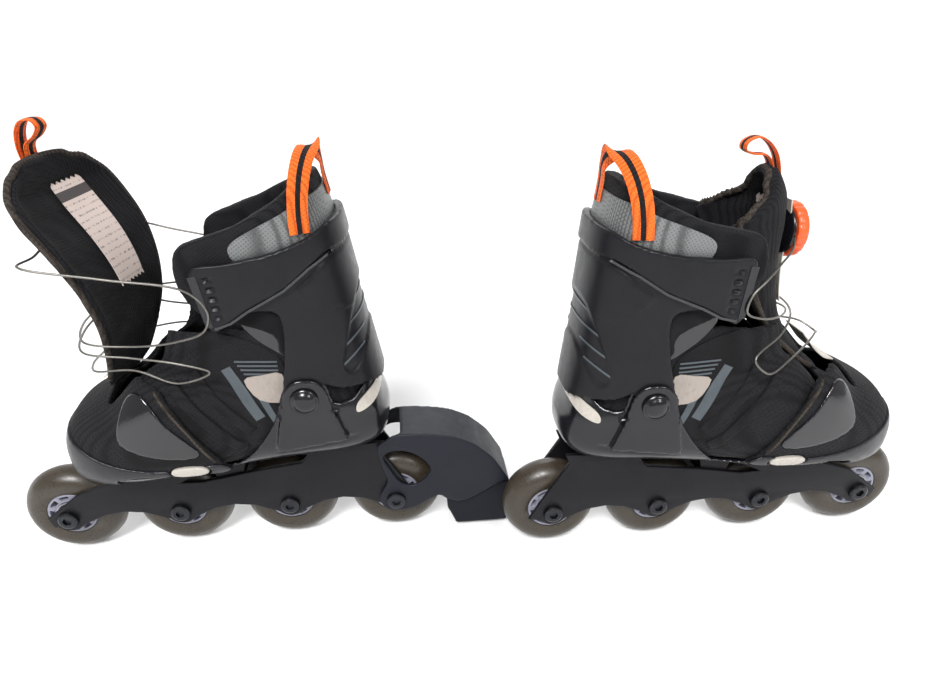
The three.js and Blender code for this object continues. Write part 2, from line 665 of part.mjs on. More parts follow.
function build() {
  const root = new THREE.Group();
  root.name = "inline_skates";
  for (const skate of SKATES) {
    const group = new THREE.Group();
    group.name = skate.name + "_skate";
    group.position.set(skate.x, skate.y, 0);
    group.rotation.z = skate.turn;
    group.scale.y = skate.mirror;
    const cuff = hingeGroup(skate.name + "_cuff_hinge", PIVOT_X, PIVOT_Z, 0, skate.cuffLean);
    const tongue = hingeGroup(skate.name + "_tongue_hinge", TONGUE_PIVOT_X, TONGUE_PIVOT_Z,
      TONGUE_AXIS_TILT, skate.tongueOpen);
    group.add(cuff.hinge, tongue.hinge);
    const holders = { cuff: cuff.held, tongue: tongue.held };
    for (const [name, slot, solid, swung] of skateParts(skate)) {
      const mesh = new THREE.Mesh(toGeometry(solid), material(slot));
      mesh.name = skate.name + "_" + name;
      (holders[swung] ?? group).add(mesh);
    }
    root.add(group);
  }
  return root;
}

export default build();
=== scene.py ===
"""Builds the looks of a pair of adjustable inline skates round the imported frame."""
import math

import bpy
import numpy as np
from mathutils import Matrix, Vector


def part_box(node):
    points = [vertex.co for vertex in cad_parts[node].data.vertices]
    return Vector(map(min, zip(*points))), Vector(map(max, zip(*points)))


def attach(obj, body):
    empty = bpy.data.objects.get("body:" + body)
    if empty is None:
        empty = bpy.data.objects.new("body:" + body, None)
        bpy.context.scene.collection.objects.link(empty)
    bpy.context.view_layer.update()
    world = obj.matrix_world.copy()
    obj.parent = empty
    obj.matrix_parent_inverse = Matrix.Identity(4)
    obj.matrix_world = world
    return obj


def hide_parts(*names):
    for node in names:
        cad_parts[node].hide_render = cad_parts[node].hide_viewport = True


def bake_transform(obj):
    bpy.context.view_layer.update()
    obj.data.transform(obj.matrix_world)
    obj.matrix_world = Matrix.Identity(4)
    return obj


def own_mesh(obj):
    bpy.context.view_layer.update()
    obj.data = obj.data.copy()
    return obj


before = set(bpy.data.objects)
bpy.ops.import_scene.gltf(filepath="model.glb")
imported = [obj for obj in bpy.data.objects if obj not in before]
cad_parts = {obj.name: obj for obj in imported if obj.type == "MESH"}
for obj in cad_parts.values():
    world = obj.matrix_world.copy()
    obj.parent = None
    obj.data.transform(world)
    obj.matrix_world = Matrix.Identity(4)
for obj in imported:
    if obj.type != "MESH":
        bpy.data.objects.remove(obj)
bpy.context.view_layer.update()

bl_info = {
    "name": "Inline Skates",
    "version": (1, 0, 0),
    "blender": (4, 5, 0),
    "location": "View3D > Sidebar > Skates",
    "description": "Builds the boots, wheels, frames, closures and stage of a pair of inline skates",
    "category": "Object",
}

MM = 0.001
SIDES = ("left", "right")
WHEELS = (1, 2, 3, 4)

# Places in each skate's own axes, in millimetres: x to the toe, y to the outer side, z up.
TONGUE_PIVOT = Vector((58, 0, 143))
TONGUE_AXIS = Vector((0, math.cos(math.radians(30)), -math.sin(math.radians(30))))
TOE_OUT = {"left": 0, "right": 18}
CUFF_LEAN = {"left": 5, "right": 0}
TONGUE_OPEN = {"left": 32, "right": 0}
PLATE_FORWARD = {"left": 0, "right": 8}
AXLE_Z = 35
PITCH = 79
FIRST_AXLE = -1.5 * PITCH

# Foot sections: distance along the foot, half width, underside height and top height.
FOOT = [
    (-114.5, 9, 104, 117), (-112, 20, 99, 122), (-105, 29, 92, 138), (-86, 36, 89, 150),
    (-55, 39, 87, 158), (-20, 43, 84, 172), (10, 46, 80, 176), (35, 46, 77, 164),
    (54, 44, 76, 144), (72, 40, 76, 134), (86, 33, 77, 126), (93, 24.5, 80, 116),
    (97.5, 14, 85, 105), (100, 6, 89, 99),
]
# Leg sections: height, back, front and half width.
LEG = [
    (100, -107, 0, 31), (114, -110, 14, 36), (136, -108.5, 30, 38), (160, -106, 34, 38),
    (180, -104, 27, 38), (205, -101, 20, 38), (235, -98, 17, 39), (257, -95, 16, 39),
    (290, -87, 16, 37),
]
# Tongue stops: height and thickness, then the front face, half width and how far the edges
# wrap back, first for the tongue folded round the shin and then for it spread flat.
TONGUE = [
    (146.5, 3, 58, 19, 2, 58, 19, 2), (157, 7, 46, 21, 4, 46, 23, 3),
    (171, 7, 34, 22, 8, 33, 28, 5),
    (186, 7, 25, 23, 14, 22, 33, 7), (205, 7, 20, 25, 22, 14.5, 38, 9),
    (225, 7, 18, 27, 32, 12, 42, 11),
    (248, 7, 17.5, 27, 40, 13, 43, 12), (264, 7, 14.5, 26, 38, 12, 39, 11),
    (275, 7, 8, 19, 24, 7, 30, 8), (279, 5, 1, 9, 8, 2, 17, 3),
]
DIAL_Z = 238
# The cuff's pivot, and the size button's middle along and up the side.
PIVOT_PLACE = (-66, 0, 141)
BUTTON_PLACE = (14, 91.5)
# Care label: lowest and highest height, then its middle and half width across the tongue,
# as parts of the tongue's half width, for the spread tongue and for the folded one.
LABEL_RISE = (198, 262)
LABEL_SPREAD = (-0.2, 0.31)
LABEL_FOLDED = (0.0, 0.34)

# Stage: the camera's place and turns, the lens, and the strength of sky and sun.
LENS_MM, SENSOR_MM, LENS_SHIFT = 24.87, 36, 0.01055
CAMERA_PLACE = (-0.0421, -0.3913, 0.35304)
CAMERA_TURN, CAMERA_DROP, CAMERA_ROLL = -0.1, 0.4802, -0.0049
STAGE_SIZE, WALL_DISTANCE = 60, 9
SKY_STRENGTH, SUN_STRENGTH, SUN_SPREAD = 0.42, 3.0, 0.35
SUN_TURN = (math.radians(42), 0, math.radians(-18))
LAMPS = (("key", (-0.7, -1.2, 1.5), 0.5, 9), ("window", (0.9, -1.3, 1.1), 0.4, 7),
         ("rim", (0.2, 1.3, 1.4), 0.8, 7))
LAMP_TARGET = Vector((0, 0, 0.12))
DIAL_FACE = {"left": 12.565, "right": 17.717}


# ---------------------------------------------------------------- settings

class SkateSizes(bpy.types.PropertyGroup):
    wheel_diameter: bpy.props.FloatProperty(
        name="Wheel Diameter", description="Outside diameter of each wheel",
        default=70 * MM, min=0.05, max=0.1, unit="LENGTH")
    wheel_width: bpy.props.FloatProperty(
        name="Wheel Width", description="Width of each tyre",
        default=24 * MM, min=0.01, max=0.04, unit="LENGTH")
    rail_inner: bpy.props.FloatProperty(
        name="Rail Inner Face", description="From the middle of the frame to a rail's inner face",
        default=13.5 * MM, min=0.005, max=0.03, unit="LENGTH")
    rail_outer: bpy.props.FloatProperty(
        name="Rail Outer Face", description="From the middle of the frame to a rail's outer face",
        default=17 * MM, min=0.005, max=0.03, unit="LENGTH")
    surface_grid: bpy.props.FloatProperty(
        name="Surface Grid", description="Cell size used when the boot panels are skinned",
        default=1.25 * MM, min=0.0005, max=0.01, unit="LENGTH")
    lace_diameter: bpy.props.FloatProperty(
        name="Lace Diameter", description="Thickness of the steel lace",
        default=1.4 * MM, min=0.0005, max=0.005, unit="LENGTH")
    webbing_width: bpy.props.FloatProperty(
        name="Webbing Width", description="Width of the heel pull loop",
        default=12 * MM, min=0.004, max=0.03, unit="LENGTH")


def colour(label, text, value):
    return bpy.props.FloatVectorProperty(
        name=label, description=text, subtype="COLOR", size=3, min=0, max=1, default=value)


class SkateColours(bpy.types.PropertyGroup):
    plastic: colour("Plastic", "Satin plastic of the cuff and frame", (0.0062, 0.0062, 0.0078))
    gloss: colour("Gloss", "Glossy plastic of the shell and toe", (0.0045, 0.0045, 0.006))
    cloth: colour("Cloth", "Black mesh cloth", (0.0062, 0.0062, 0.0072))
    silver: colour("Silver Mesh", "Shimmering cloth on the collar", (0.13, 0.135, 0.135))
    orange: colour("Orange", "Webbing and dial", (0.80, 0.13, 0.016))
    tyre: colour("Tyre", "Smoky urethane of the wheels", (0.034, 0.027, 0.019))
    hub: colour("Hub", "Wheel core", (0.20, 0.20, 0.25))
    brake: colour("Brake", "Brake arm", (0.0062, 0.0070, 0.0112))
    trim: colour("Trim", "Pale trim and button", (0.40, 0.37, 0.33))
    stripe: colour("Stripe", "Grey-blue printed stripes", (0.040, 0.050, 0.058))


def sizes():
    return bpy.context.scene.skate_sizes


def colours():
    return bpy.context.scene.skate_colours


# ---------------------------------------------------------------- materials

class Nodes:
    """Short way to write a node tree for one material."""

    def __init__(self, name):
        self.material = bpy.data.materials.get(name)
        self.fresh = self.material is None
        if self.fresh:
            self.material = bpy.data.materials.new(name)
            self.material.use_nodes = True
        self.tree = self.material.node_tree
        self.shader = self.tree.nodes.get("Principled BSDF")

    def set(self, **inputs):
        for key, value in inputs.items():
            self.shader.inputs[key.replace("_", " ")].default_value = value

    def node(self, kind, **values):
        made = self.tree.nodes.new(kind)
        for key, value in values.items():
            if hasattr(made, key):
                setattr(made, key, value)
            else:
                made.inputs[key.replace("_", " ")].default_value = value
        return made

    def link(self, source, target):
        self.tree.links.new(source, target)

    def place(self, scale=(1, 1, 1), turn=(0, 0, 0)):
        spot = self.node("ShaderNodeTexCoord")
        mapping = self.node("ShaderNodeMapping")
        mapping.inputs["Scale"].default_value = scale
        mapping.inputs["Rotation"].default_value = turn
        self.link(spot.outputs["Object"], mapping.inputs["Vector"])
        return mapping.outputs["Vector"]

    def noise(self, scale, detail=3.0, roughness=0.55, stretch=(1, 1, 1)):
        made = self.node("ShaderNodeTexNoise", Scale=scale, Detail=detail, Roughness=roughness)
        self.link(self.place(stretch), made.inputs["Vector"])
        return made.outputs["Fac"]

    def ramp(self, source, *stops):
        made = self.node("ShaderNodeValToRGB")
        strip = made.color_ramp.elements
        while len(strip) < len(stops):
            strip.new(0.5)
        for element, (place, value) in zip(strip, stops):
            element.position = place
            tone = value if isinstance(value, (tuple, list)) else (value, value, value)
            element.color = (*tone[:3], 1)
        self.link(source, made.inputs["Fac"])
        return made.outputs["Color"]

    def bump(self, height, strength, distance=0.0004, after=None):
        made = self.node("ShaderNodeBump", Strength=strength, Distance=distance)
        self.link(height, made.inputs["Height"])
        if after is not None:
            self.link(after, made.inputs["Normal"])
        return made.outputs["Normal"]

    def wave(self, scale, turn=(0, 0, 0), distortion=0.0):
        made = self.node("ShaderNodeTexWave", Scale=scale, Distortion=distortion)
        self.link(self.place(turn=turn), made.inputs["Vector"])
        return made.outputs["Fac"]

    def join(self, a, b, how="MULTIPLY"):
        made = self.node("ShaderNodeMath")
        made.operation = how
        self.link(a, made.inputs[0])
        self.link(b, made.inputs[1])
        return made.outputs[0]

    def finish(self, color=None, roughness=None, normal=None):
        for source, key in ((color, "Base Color"), (roughness, "Roughness"), (normal, "Normal")):
            if source is not None:
                self.link(source, self.shader.inputs[key])
        return self.material


def scaled(tone, factor):
    return tuple(min(1.0, c * factor) for c in tone)


def moulded(name, tone, rough, grain=0.12, coat=0.0, wear=1.5, specular=0.5):
    """Moulded plastic: faint colour drift, uneven gloss, fine grain and rubbed spots."""
    n = Nodes(name)
    if not n.fresh:
        return n.material
    drift = n.noise(38, 4)
    rub = n.noise(420, 6, 0.7, (1, 1, 0.35))
    mixed = n.join(drift, rub, "ADD")
    color = n.ramp(mixed, (0.55, scaled(tone, 0.82)), (1.15, scaled(tone, wear)))
    gloss = n.ramp(n.noise(160, 5, 0.6), (0.3, rough - 0.05), (0.75, rough + 0.08))
    normal = n.bump(n.noise(2600, 2), grain, 0.0002, n.bump(n.noise(90, 2), 0.05, 0.0008))
    n.set(Coat_Weight=coat, Coat_Roughness=0.12, Specular_IOR_Level=specular)
    return n.finish(color, gloss, normal)


def woven(name, tone, pitch=1.1, rough=0.85, strength=0.7, sheen=0.03, bright=1.7, metallic=0.0):
    """Cloth with a fine crossed weave that follows the skate's own axes."""
    n = Nodes(name)
    if not n.fresh:
        return n.material
    scale = 0.3142 / (pitch * MM) / 2
    along = n.wave(scale, (0, 0.6, 0))
    across = n.wave(scale, (0, -0.97, 0.15))
    upright = n.wave(scale, (0, 0, 1.57))
    weave = n.join(n.join(along, across, "MAXIMUM"), upright, "MULTIPLY")
    fuzz = n.noise(1500, 4, 0.7)
    mixed = n.join(weave, fuzz, "ADD")
    color = n.ramp(mixed, (0.35, scaled(tone, 0.45)), (1.1, scaled(tone, bright)))
    normal = n.bump(mixed, strength, 0.0005)
    n.set(Roughness=rough, Sheen_Weight=sheen, Sheen_Roughness=0.4, Metallic=metallic,
          Specular_IOR_Level=0.2)
    return n.finish(color, None, normal)


def metal(name, tone, rough):
    n = Nodes(name)
    if not n.fresh:
        return n.material
    streak = n.noise(900, 4, 0.6, (1, 0.1, 1))
    n.set(Metallic=0.95)
    return n.finish(n.ramp(streak, (0.3, scaled(tone, 0.75)), (0.8, scaled(tone, 1.3))),
                    n.ramp(n.noise(300, 3), (0.3, rough - 0.07), (0.8, rough + 0.1)),
                    n.bump(streak, 0.08, 0.0002))


def finish_named(key):
    c = colours()
    makers = {
        "plastic": lambda: moulded("satin_plastic", tuple(c.plastic), 0.33, 0.14, 0, 1.5, 0.2),
        "frame": lambda: moulded("frame_plastic", scaled(c.plastic, 0.9), 0.38, 0.18, 0, 1.5, 0.2),
        "gloss": lambda: moulded("gloss_plastic", tuple(c.gloss), 0.2, 0.03, 0.15, 1.5, 0.4),
        "rand": lambda: moulded("rubber_rand", scaled(c.gloss, 1.1), 0.32, 0.12, 0, 1.5, 0.35),
        "patent": lambda: moulded("gloss_panel", scaled(c.gloss, 0.9), 0.1, 0.03, 0.45, 1.5, 0.5),
        "cloth": lambda: woven("mesh_cloth", tuple(c.cloth), 1.5),
        "quarter": lambda: woven("quarter_cloth", scaled(c.cloth, 0.8), 1.0, 0.8, 0.5),
        "lining": lambda: woven("lining_cloth", scaled(c.cloth, 1.1), 0.9, 0.95, 0.5),
        "silver": lambda: woven("silver_mesh", tuple(c.silver), 0.9, 0.42, 0.3, 0.1, 1.5, 0.35),
        "orange_web": lambda: woven("orange_webbing", tuple(c.orange), 0.9, 0.75, 0.5, 0.1, 1.15),
        "black_web": lambda: woven("black_webbing", scaled(c.cloth, 0.9), 0.9, 0.8, 0.6),
        "seam": lambda: woven("seam_tape", (0.030, 0.024, 0.020), 1.3, 0.85, 0.8),
        "orange": lambda: moulded("orange_plastic", (0.72, 0.085, 0.016), 0.34, 0.1, 0.1, 1.12),
        "trim": lambda: moulded("pale_trim", tuple(c.trim), 0.28, 0.05, 0.2, 1.15),
        "stripe": lambda: moulded("grey_print", tuple(c.stripe), 0.38, 0.1, 0.0, 1.3),
        "reflect": lambda: moulded("reflective_patch", (0.25, 0.215, 0.19), 0.3, 0.25, 0.0, 1.2),
        "brake": lambda: moulded("brake_plastic", tuple(c.brake), 0.48, 0.2, 0, 1.4, 0.25),
        "pad": lambda: moulded("brake_rubber", scaled(c.brake, 0.8), 0.62, 0.3, 0, 1.3, 0.2),
        "bolt": lambda: metal("dark_bolt", (0.045, 0.046, 0.052), 0.34),
        "steel": lambda: metal("lace_steel", (0.20, 0.19, 0.175), 0.4),
        "bearing": lambda: metal("bearing_steel", (0.35, 0.35, 0.37), 0.3),
        "hub": lambda: moulded("hub_plastic", tuple(c.hub), 0.32, 0.05, 0.1, 1.15),
    }
    return makers[key]()


def tyre_finish():
    """Smoky cast urethane: light passes into it, darker where it is thick."""
    n = Nodes("smoky_urethane")
    if not n.fresh:
        return n.material
    tone = tuple(colours().tyre)
    cloud = n.noise(60, 4)
    dirt = n.noise(700, 5, 0.7)
    color = n.ramp(n.join(cloud, dirt, "ADD"), (0.6, scaled(tone, 0.8)), (1.2, scaled(tone, 1.7)))
    gloss = n.ramp(dirt, (0.35, 0.26), (0.75, 0.46))
    n.set(Transmission_Weight=0.35, IOR=1.46, Subsurface_Weight=0.0)
    return n.finish(color, gloss, n.bump(dirt, 0.12, 0.0003))


def label_finish():
    """Pale care label with faint ruled lines and one dark block, no letters."""
    n = Nodes("care_label")
    if not n.fresh:
        return n.material
    uv = n.node("ShaderNodeUVMap", uv_map="UVMap")
    split = n.node("ShaderNodeSeparateXYZ")
    n.link(uv.outputs["UV"], split.inputs["Vector"])
    lines = n.node("ShaderNodeTexWave", Scale=5.2, bands_direction="Y", Distortion=0.4)
    n.link(uv.outputs["UV"], lines.inputs["Vector"])
    dashes = n.node("ShaderNodeTexNoise", Scale=26.0, Detail=1.0)
    n.link(uv.outputs["UV"], dashes.inputs["Vector"])
    broken = n.join(lines.outputs["Fac"], dashes.outputs["Fac"])
    ink = n.ramp(broken, (0.44, (0.56, 0.47, 0.43)), (0.58, (0.24, 0.20, 0.19)))
    block = n.node("ShaderNodeMapRange")
    block.inputs["From Min"].default_value = 0.80
    block.inputs["From Max"].default_value = 0.802
    n.link(split.outputs["Y"], block.inputs["Value"])
    above = n.node("ShaderNodeMapRange")
    above.inputs["From Min"].default_value = 0.90
    above.inputs["From Max"].default_value = 0.898
    n.link(split.outputs["Y"], above.inputs["Value"])
    inside = n.join(block.outputs["Result"], above.outputs["Result"])
    mix = n.node("ShaderNodeMix", data_type="RGBA")
    n.link(inside, mix.inputs["Factor"])
    n.link(ink, mix.inputs["A"])
    mix.inputs["B"].default_value = (0.06, 0.05, 0.05, 1)
    n.set(Roughness=0.8)
    return n.finish(mix.outputs["Result"], None, n.bump(n.noise(1800, 3), 0.3, 0.0002))


# ---------------------------------------------------------------- mesh helpers

def deselect():
    for item in bpy.context.selected_objects:
        item.select_set(False)


def activate(obj):
    deselect()
    obj.select_set(True)
    bpy.context.view_layer.objects.active = obj


def mesh_object(name, verts, faces):
    """New object from points in millimetres."""
    data = bpy.data.meshes.new(name)
    data.from_pydata([tuple(c * MM for c in v) for v in verts], [], faces)
    data.update()
    obj = bpy.data.objects.new(name, data)
    bpy.context.collection.objects.link(obj)
    return obj


def outward(obj):
    activate(obj)
    bpy.ops.object.mode_set(mode="EDIT")
    bpy.ops.mesh.select_all(action="SELECT")
    bpy.ops.mesh.remove_doubles(threshold=1e-6)
    bpy.ops.mesh.normals_make_consistent(inside=False)
    bpy.ops.object.mode_set(mode="OBJECT")
    return obj


def apply(obj, kind, **values):
    activate(obj)
    modifier = obj.modifiers.new(kind.title(), kind)
    for key, value in values.items():
        setattr(modifier, key, value)
    bpy.ops.object.modifier_apply(modifier=modifier.name)
    return obj


def combine(obj, other, operation, keep=False):
    apply(obj, "BOOLEAN", object=other, operation=operation, solver="MANIFOLD")
    if not keep:
        bpy.data.objects.remove(other)
    return obj


def loft(name, rings):
    """Closed skin over rings that have the same number of points."""
    count = len(rings[0])
    verts = [p for ring in rings for p in ring]
    faces = []
    for i in range(len(rings) - 1):
        for j in range(count):
            k = (j + 1) % count
            faces.append((i * count + j, i * count + k, (i + 1) * count + k, (i + 1) * count + j))
    for row in (0, len(rings) - 1):
        middle = [sum(p[k] for p in rings[row]) / count for k in range(3)]
        verts.append(middle)
        for j in range(count):
            faces.append((row * count + j, row * count + (j + 1) % count, len(verts) - 1))
    return outward(mesh_object(name, verts, faces))


def curve_point(p0, p1, p2, p3, t):
    """Point of a Catmull-Rom curve between p1 and p2."""
    return 0.5 * (2 * p1 + (p2 - p0) * t + (2 * p0 - 5 * p1 + 4 * p2 - p3) * t ** 2
                  + (3 * p1 - p0 - 3 * p2 + p3) * t ** 3)


def smooth_rows(rows, steps):
    """Rows of numbers with a Catmull-Rom curve run through each column."""
    rows = np.array(rows, float)
    padded = np.vstack([2 * rows[0] - rows[1], rows, 2 * rows[-1] - rows[-2]])
    out = []
    for i in range(1, len(padded) - 2):
        out += [curve_point(*padded[i - 1:i + 3], k / steps) for k in range(steps)]
    out.append(rows[-1])
    return np.array(out)


def smooth_outline(points, steps=5):
    """Closed outline with a Catmull-Rom curve through its points."""
    pts = np.array(points, float)
    out = []
    for i in range(len(pts)):
        near = [pts[(i + k) % len(pts)] for k in (-1, 0, 1, 2)]
        out += [curve_point(*near, k / steps) for k in range(steps)]
    return [tuple(p) for p in out]


def side_block(points, low=-90, high=90, steps=0):
    """Side outline, as x and z, run across the skate between two y values."""
    if steps:
        points = smooth_outline(points, steps)
    count = len(points)
    verts = [(x, y, z) for y in (low, high) for x, z in points]
    faces = [tuple(range(count)), tuple(range(2 * count - 1, count - 1, -1))]
    faces += [(j, (j + 1) % count, count + (j + 1) % count, count + j) for j in range(count)]
    obj = outward(mesh_object("block", verts, faces))
    apply(obj, "TRIANGULATE")
    return obj


def cutter_box(middle, size):
    """Box that cuts an opening; its middle and size are in metres."""
    bpy.ops.mesh.primitive_cube_add(size=1)
    box = bpy.context.object
    box.data.transform(Matrix.Translation(middle) @ Matrix.Diagonal((*size, 1)))
    return box


def superring(half_a, half_b, exponent, place, count=56):
    ring = []
    for i in range(count):
        angle = 2 * math.pi * (i + 0.5) / count
        power = 2 / exponent(angle)
        a = half_a * math.copysign(abs(math.cos(angle)) ** power, math.cos(angle))
        b = half_b * math.copysign(abs(math.sin(angle)) ** power, math.sin(angle))
        ring.append(place(a, b))
    return ring


def boot_form():
    """The foot and leg as one smooth solid."""
    foot = loft("foot_form", [superring(
        half, (high - low) / 2, lambda a: 3.4 if math.sin(a) < 0 else 2.3,
        lambda y, z, x=x, m=(low + high) / 2: (x, y, m + z))
        for x, half, low, high in smooth_rows(FOOT, 5)])
    leg = loft("leg_form", [superring(
        (front - back) / 2, half, lambda a: 2.9,
        lambda x, y, z=z, m=(back + front) / 2: (m + x, y, z))
        for z, back, front, half in smooth_rows(LEG, 5)])
    combine(foot, leg, "UNION")
    apply(foot, "REMESH", mode="VOXEL", voxel_size=2.2 * MM)
    apply(foot, "SMOOTH", factor=0.5, iterations=9)
    return foot


def points_of(obj):
    """Places and normals of a mesh's points, each as one flat row."""
    rows = []
    for key in ("co", "normal"):
        rows.append(np.empty(len(obj.data.vertices) * 3))
        obj.data.vertices.foreach_get(key, rows[-1])
    return rows


FORMS = {}


def form(offset):
    """The boot form grown by an offset in millimetres; kept for reuse."""
    if "base" not in FORMS:
        FORMS["base"] = boot_form()
    key = round(offset, 2)
    if key not in FORMS:
        obj = FORMS["base"].copy()
        obj.data = FORMS["base"].data.copy()
        bpy.context.collection.objects.link(obj)
        place, normal = points_of(obj)
        obj.data.vertices.foreach_set("co", place + normal * (offset * MM))
        obj.data.update()
        FORMS[key] = obj
    return FORMS[key]


def copy_of(obj, name):
    made = obj.copy()
    made.data = obj.data.copy()
    made.name = name
    bpy.context.collection.objects.link(made)
    return made


def layer(name, inner, outer, outline, steps=5, low=-90, high=90):
    """A skin of the boot between two offsets, cut to a side outline."""
    obj = copy_of(form(outer), name)
    combine(obj, side_block(outline, low, high, steps), "INTERSECT")
    combine(obj, form(inner), "DIFFERENCE", keep=True)
    return obj


def soften(obj, grid=None, rounds=4):
    apply(obj, "REMESH", mode="VOXEL", voxel_size=grid or sizes().surface_grid)
    apply(obj, "SMOOTH", factor=0.5, iterations=rounds)
    for polygon in obj.data.polygons:
        polygon.use_smooth = True
    return obj


def shade(obj, angle=35):
    activate(obj)
    bpy.ops.object.shade_smooth_by_angle(angle=math.radians(angle))
    return obj


def turned(name, profile, segments=48, centre=(0, 0, 0), axis="Y"):
    """Lathe: profile points are radius and distance along the axis."""
    rings = []
    for i in range(segments):
        angle = 2 * math.pi * i / segments
        ring = []
        for radius, along in profile:
            a, b = radius * math.cos(angle), radius * math.sin(angle)
            spot = (a, along, b) if axis == "Y" else (along, a, b)
            ring.append(tuple(s + c for s, c in zip(spot, centre)))
        rings.append(ring)
    count = len(profile)
    verts = [p for ring in rings for p in ring]
    faces = []
    for i in range(segments):
        for j in range(count - 1):
            a, b = i * count + j, ((i + 1) % segments) * count + j
            faces.append((a, a + 1, b + 1, b))
    return outward(mesh_object(name, verts, faces))


def plate(name, outline, low, high, bevel, holes):
    """Flat plate from a side outline, with rounded edges and holes."""
    curve = bpy.data.curves.new(name, "CURVE")
    curve.dimensions = "2D"
    curve.fill_mode = "BOTH"
    curve.extrude = max((high - low) / 2 - bevel, 0) * MM
    curve.bevel_depth = bevel * MM
    curve.bevel_resolution = 2
    curve.offset = -bevel * MM
    for points in (outline, *holes):
        spline = curve.splines.new("POLY")
        spline.points.add(len(points) - 1)
        for point, (x, z) in zip(spline.points, points):
            point.co = (x * MM, z * MM, 0, 1)
        spline.use_cyclic_u = True
    obj = bpy.data.objects.new(name, curve)
    bpy.context.collection.objects.link(obj)
    activate(obj)
    bpy.ops.object.convert(target="MESH")
    obj = bpy.context.object
    place = Matrix.Translation((0, (low + high) / 2 * MM, 0))
    obj.data.transform(place @ Matrix.Rotation(math.pi / 2, 4, "X"))
    return outward(obj)


def arc(cx, cz, radius, start, end, count=10):
    return [(cx + radius * math.cos(math.radians(start + (end - start) * i / (count - 1))),
             cz + radius * math.sin(math.radians(start + (end - start) * i / (count - 1))))
            for i in range(count)]


def ribbon(name, stops, width, thickness, stripes=(1,), steps=6):
    """Flat webbing along a route; stripes are material slots side by side across it."""
    rows = smooth_rows([list(p) + list(w) for p, w in stops], steps)
    columns = len(stripes)
    rings = []
    for i, row in enumerate(rows):
        here, side = Vector(row[:3]), Vector(row[3:]).normalized()
        after, before = rows[min(i + 1, len(rows) - 1)], rows[max(i - 1, 0)]
        along = (Vector(after[:3]) - Vector(before[:3])).normalized()
        face = along.cross(side).normalized()
        side = face.cross(along).normalized()
        edge = [(-0.5 + k / columns) for k in range(columns + 1)]
        top = [here + side * e * width + face * thickness / 2 * (0.35 if k in (0, columns) else 1)
               for k, e in enumerate(edge)]
        low = [here + side * e * width - face * thickness / 2 * (0.35 if k in (0, columns) else 1)
               for k, e in reversed(list(enumerate(edge)))]
        rings.append([tuple(p) for p in top + low])
    obj = loft(name, rings)
    count = 2 * (columns + 1)
    order = list(stripes) + [stripes[-1]] + list(reversed(stripes)) + [stripes[0]]
    for index, polygon in enumerate(obj.data.polygons):
        polygon.material_index = order[index % count] if index < count * (len(rings) - 1) else 0
    return obj


# ---------------------------------------------------------------- placing

def skate_origin(side):
    """Middle of the wheelbase on the floor, from the frame's axles."""
    first_low, first_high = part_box(side + "_axle_1")
    last_low, last_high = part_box(side + "_axle_4")
    y_low, y_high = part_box(side + "_axle_2")
    return Vector(((first_low[0] + first_high[0] + last_low[0] + last_high[0]) / 4,
                   (y_low[1] + y_high[1]) / 2, 0))


def world_matrix(side):
    turn = Matrix.Rotation(math.pi, 4, "Z") if side == "left" else Matrix.Scale(-1, 4, (0, 1, 0))
    return Matrix.Translation(skate_origin(side)) @ turn


def about(pivot, matrix):
    spot = Matrix.Translation(pivot * MM)
    return spot @ matrix @ spot.inverted()


def rest_matrix(side, group):
    if group == "toe":
        return Matrix.Translation((TOE_OUT[side] * MM, 0, 0))
    if group == "cuff":
        return about(Vector(PIVOT_PLACE), Matrix.Rotation(math.radians(CUFF_LEAN[side]), 4, "Y"))
    if group == "tongue":
        return about(TONGUE_PIVOT, Matrix.Rotation(math.radians(TONGUE_OPEN[side]), 4, TONGUE_AXIS))
    return Matrix.Identity(4)


BODIES = {"root": "chassis", "toe": "{}_toe", "cuff": "{}_cuff", "tongue": "{}_tongue",
          "spool": "{}_spool", "knob": "{}_knob", "button": "{}_size_button"}
MOVES = {"spool": "tongue", "knob": "tongue", "button": "toe"}


def put(obj, side, name, group, finishes, slot, replaces=()):
    """Moves one finished mesh from a skate's own axes to its place and hands it to its body."""
    matrix = world_matrix(side) @ rest_matrix(side, MOVES.get(group, group))
    obj.data.transform(matrix)
    if side == "right":
        obj.data.flip_normals()
    obj.name = side + "_" + name + ("_skin" if side + "_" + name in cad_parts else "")
    obj.data.name = obj.name
    slots = [polygon.material_index for polygon in obj.data.polygons]
    obj.data.materials.clear()
    for key in finishes:
        obj.data.materials.append(finish_named(key) if isinstance(key, str) else key)
    if len(finishes) > 1:
        obj.data.polygons.foreach_set("material_index", slots)
    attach(obj, BODIES.get(group, "{}_" + group).format(side))
    if replaces:
        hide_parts(*[side + "_" + node for node in replaces])
    return obj


def put_both(obj, name, group, finishes, slot, replaces=()):
    pair = [put(copy_of(obj, name), side, name, group, finishes, slot, replaces) for side in SIDES]
    bpy.data.objects.remove(obj)
    return pair


# ---------------------------------------------------------------- outlines

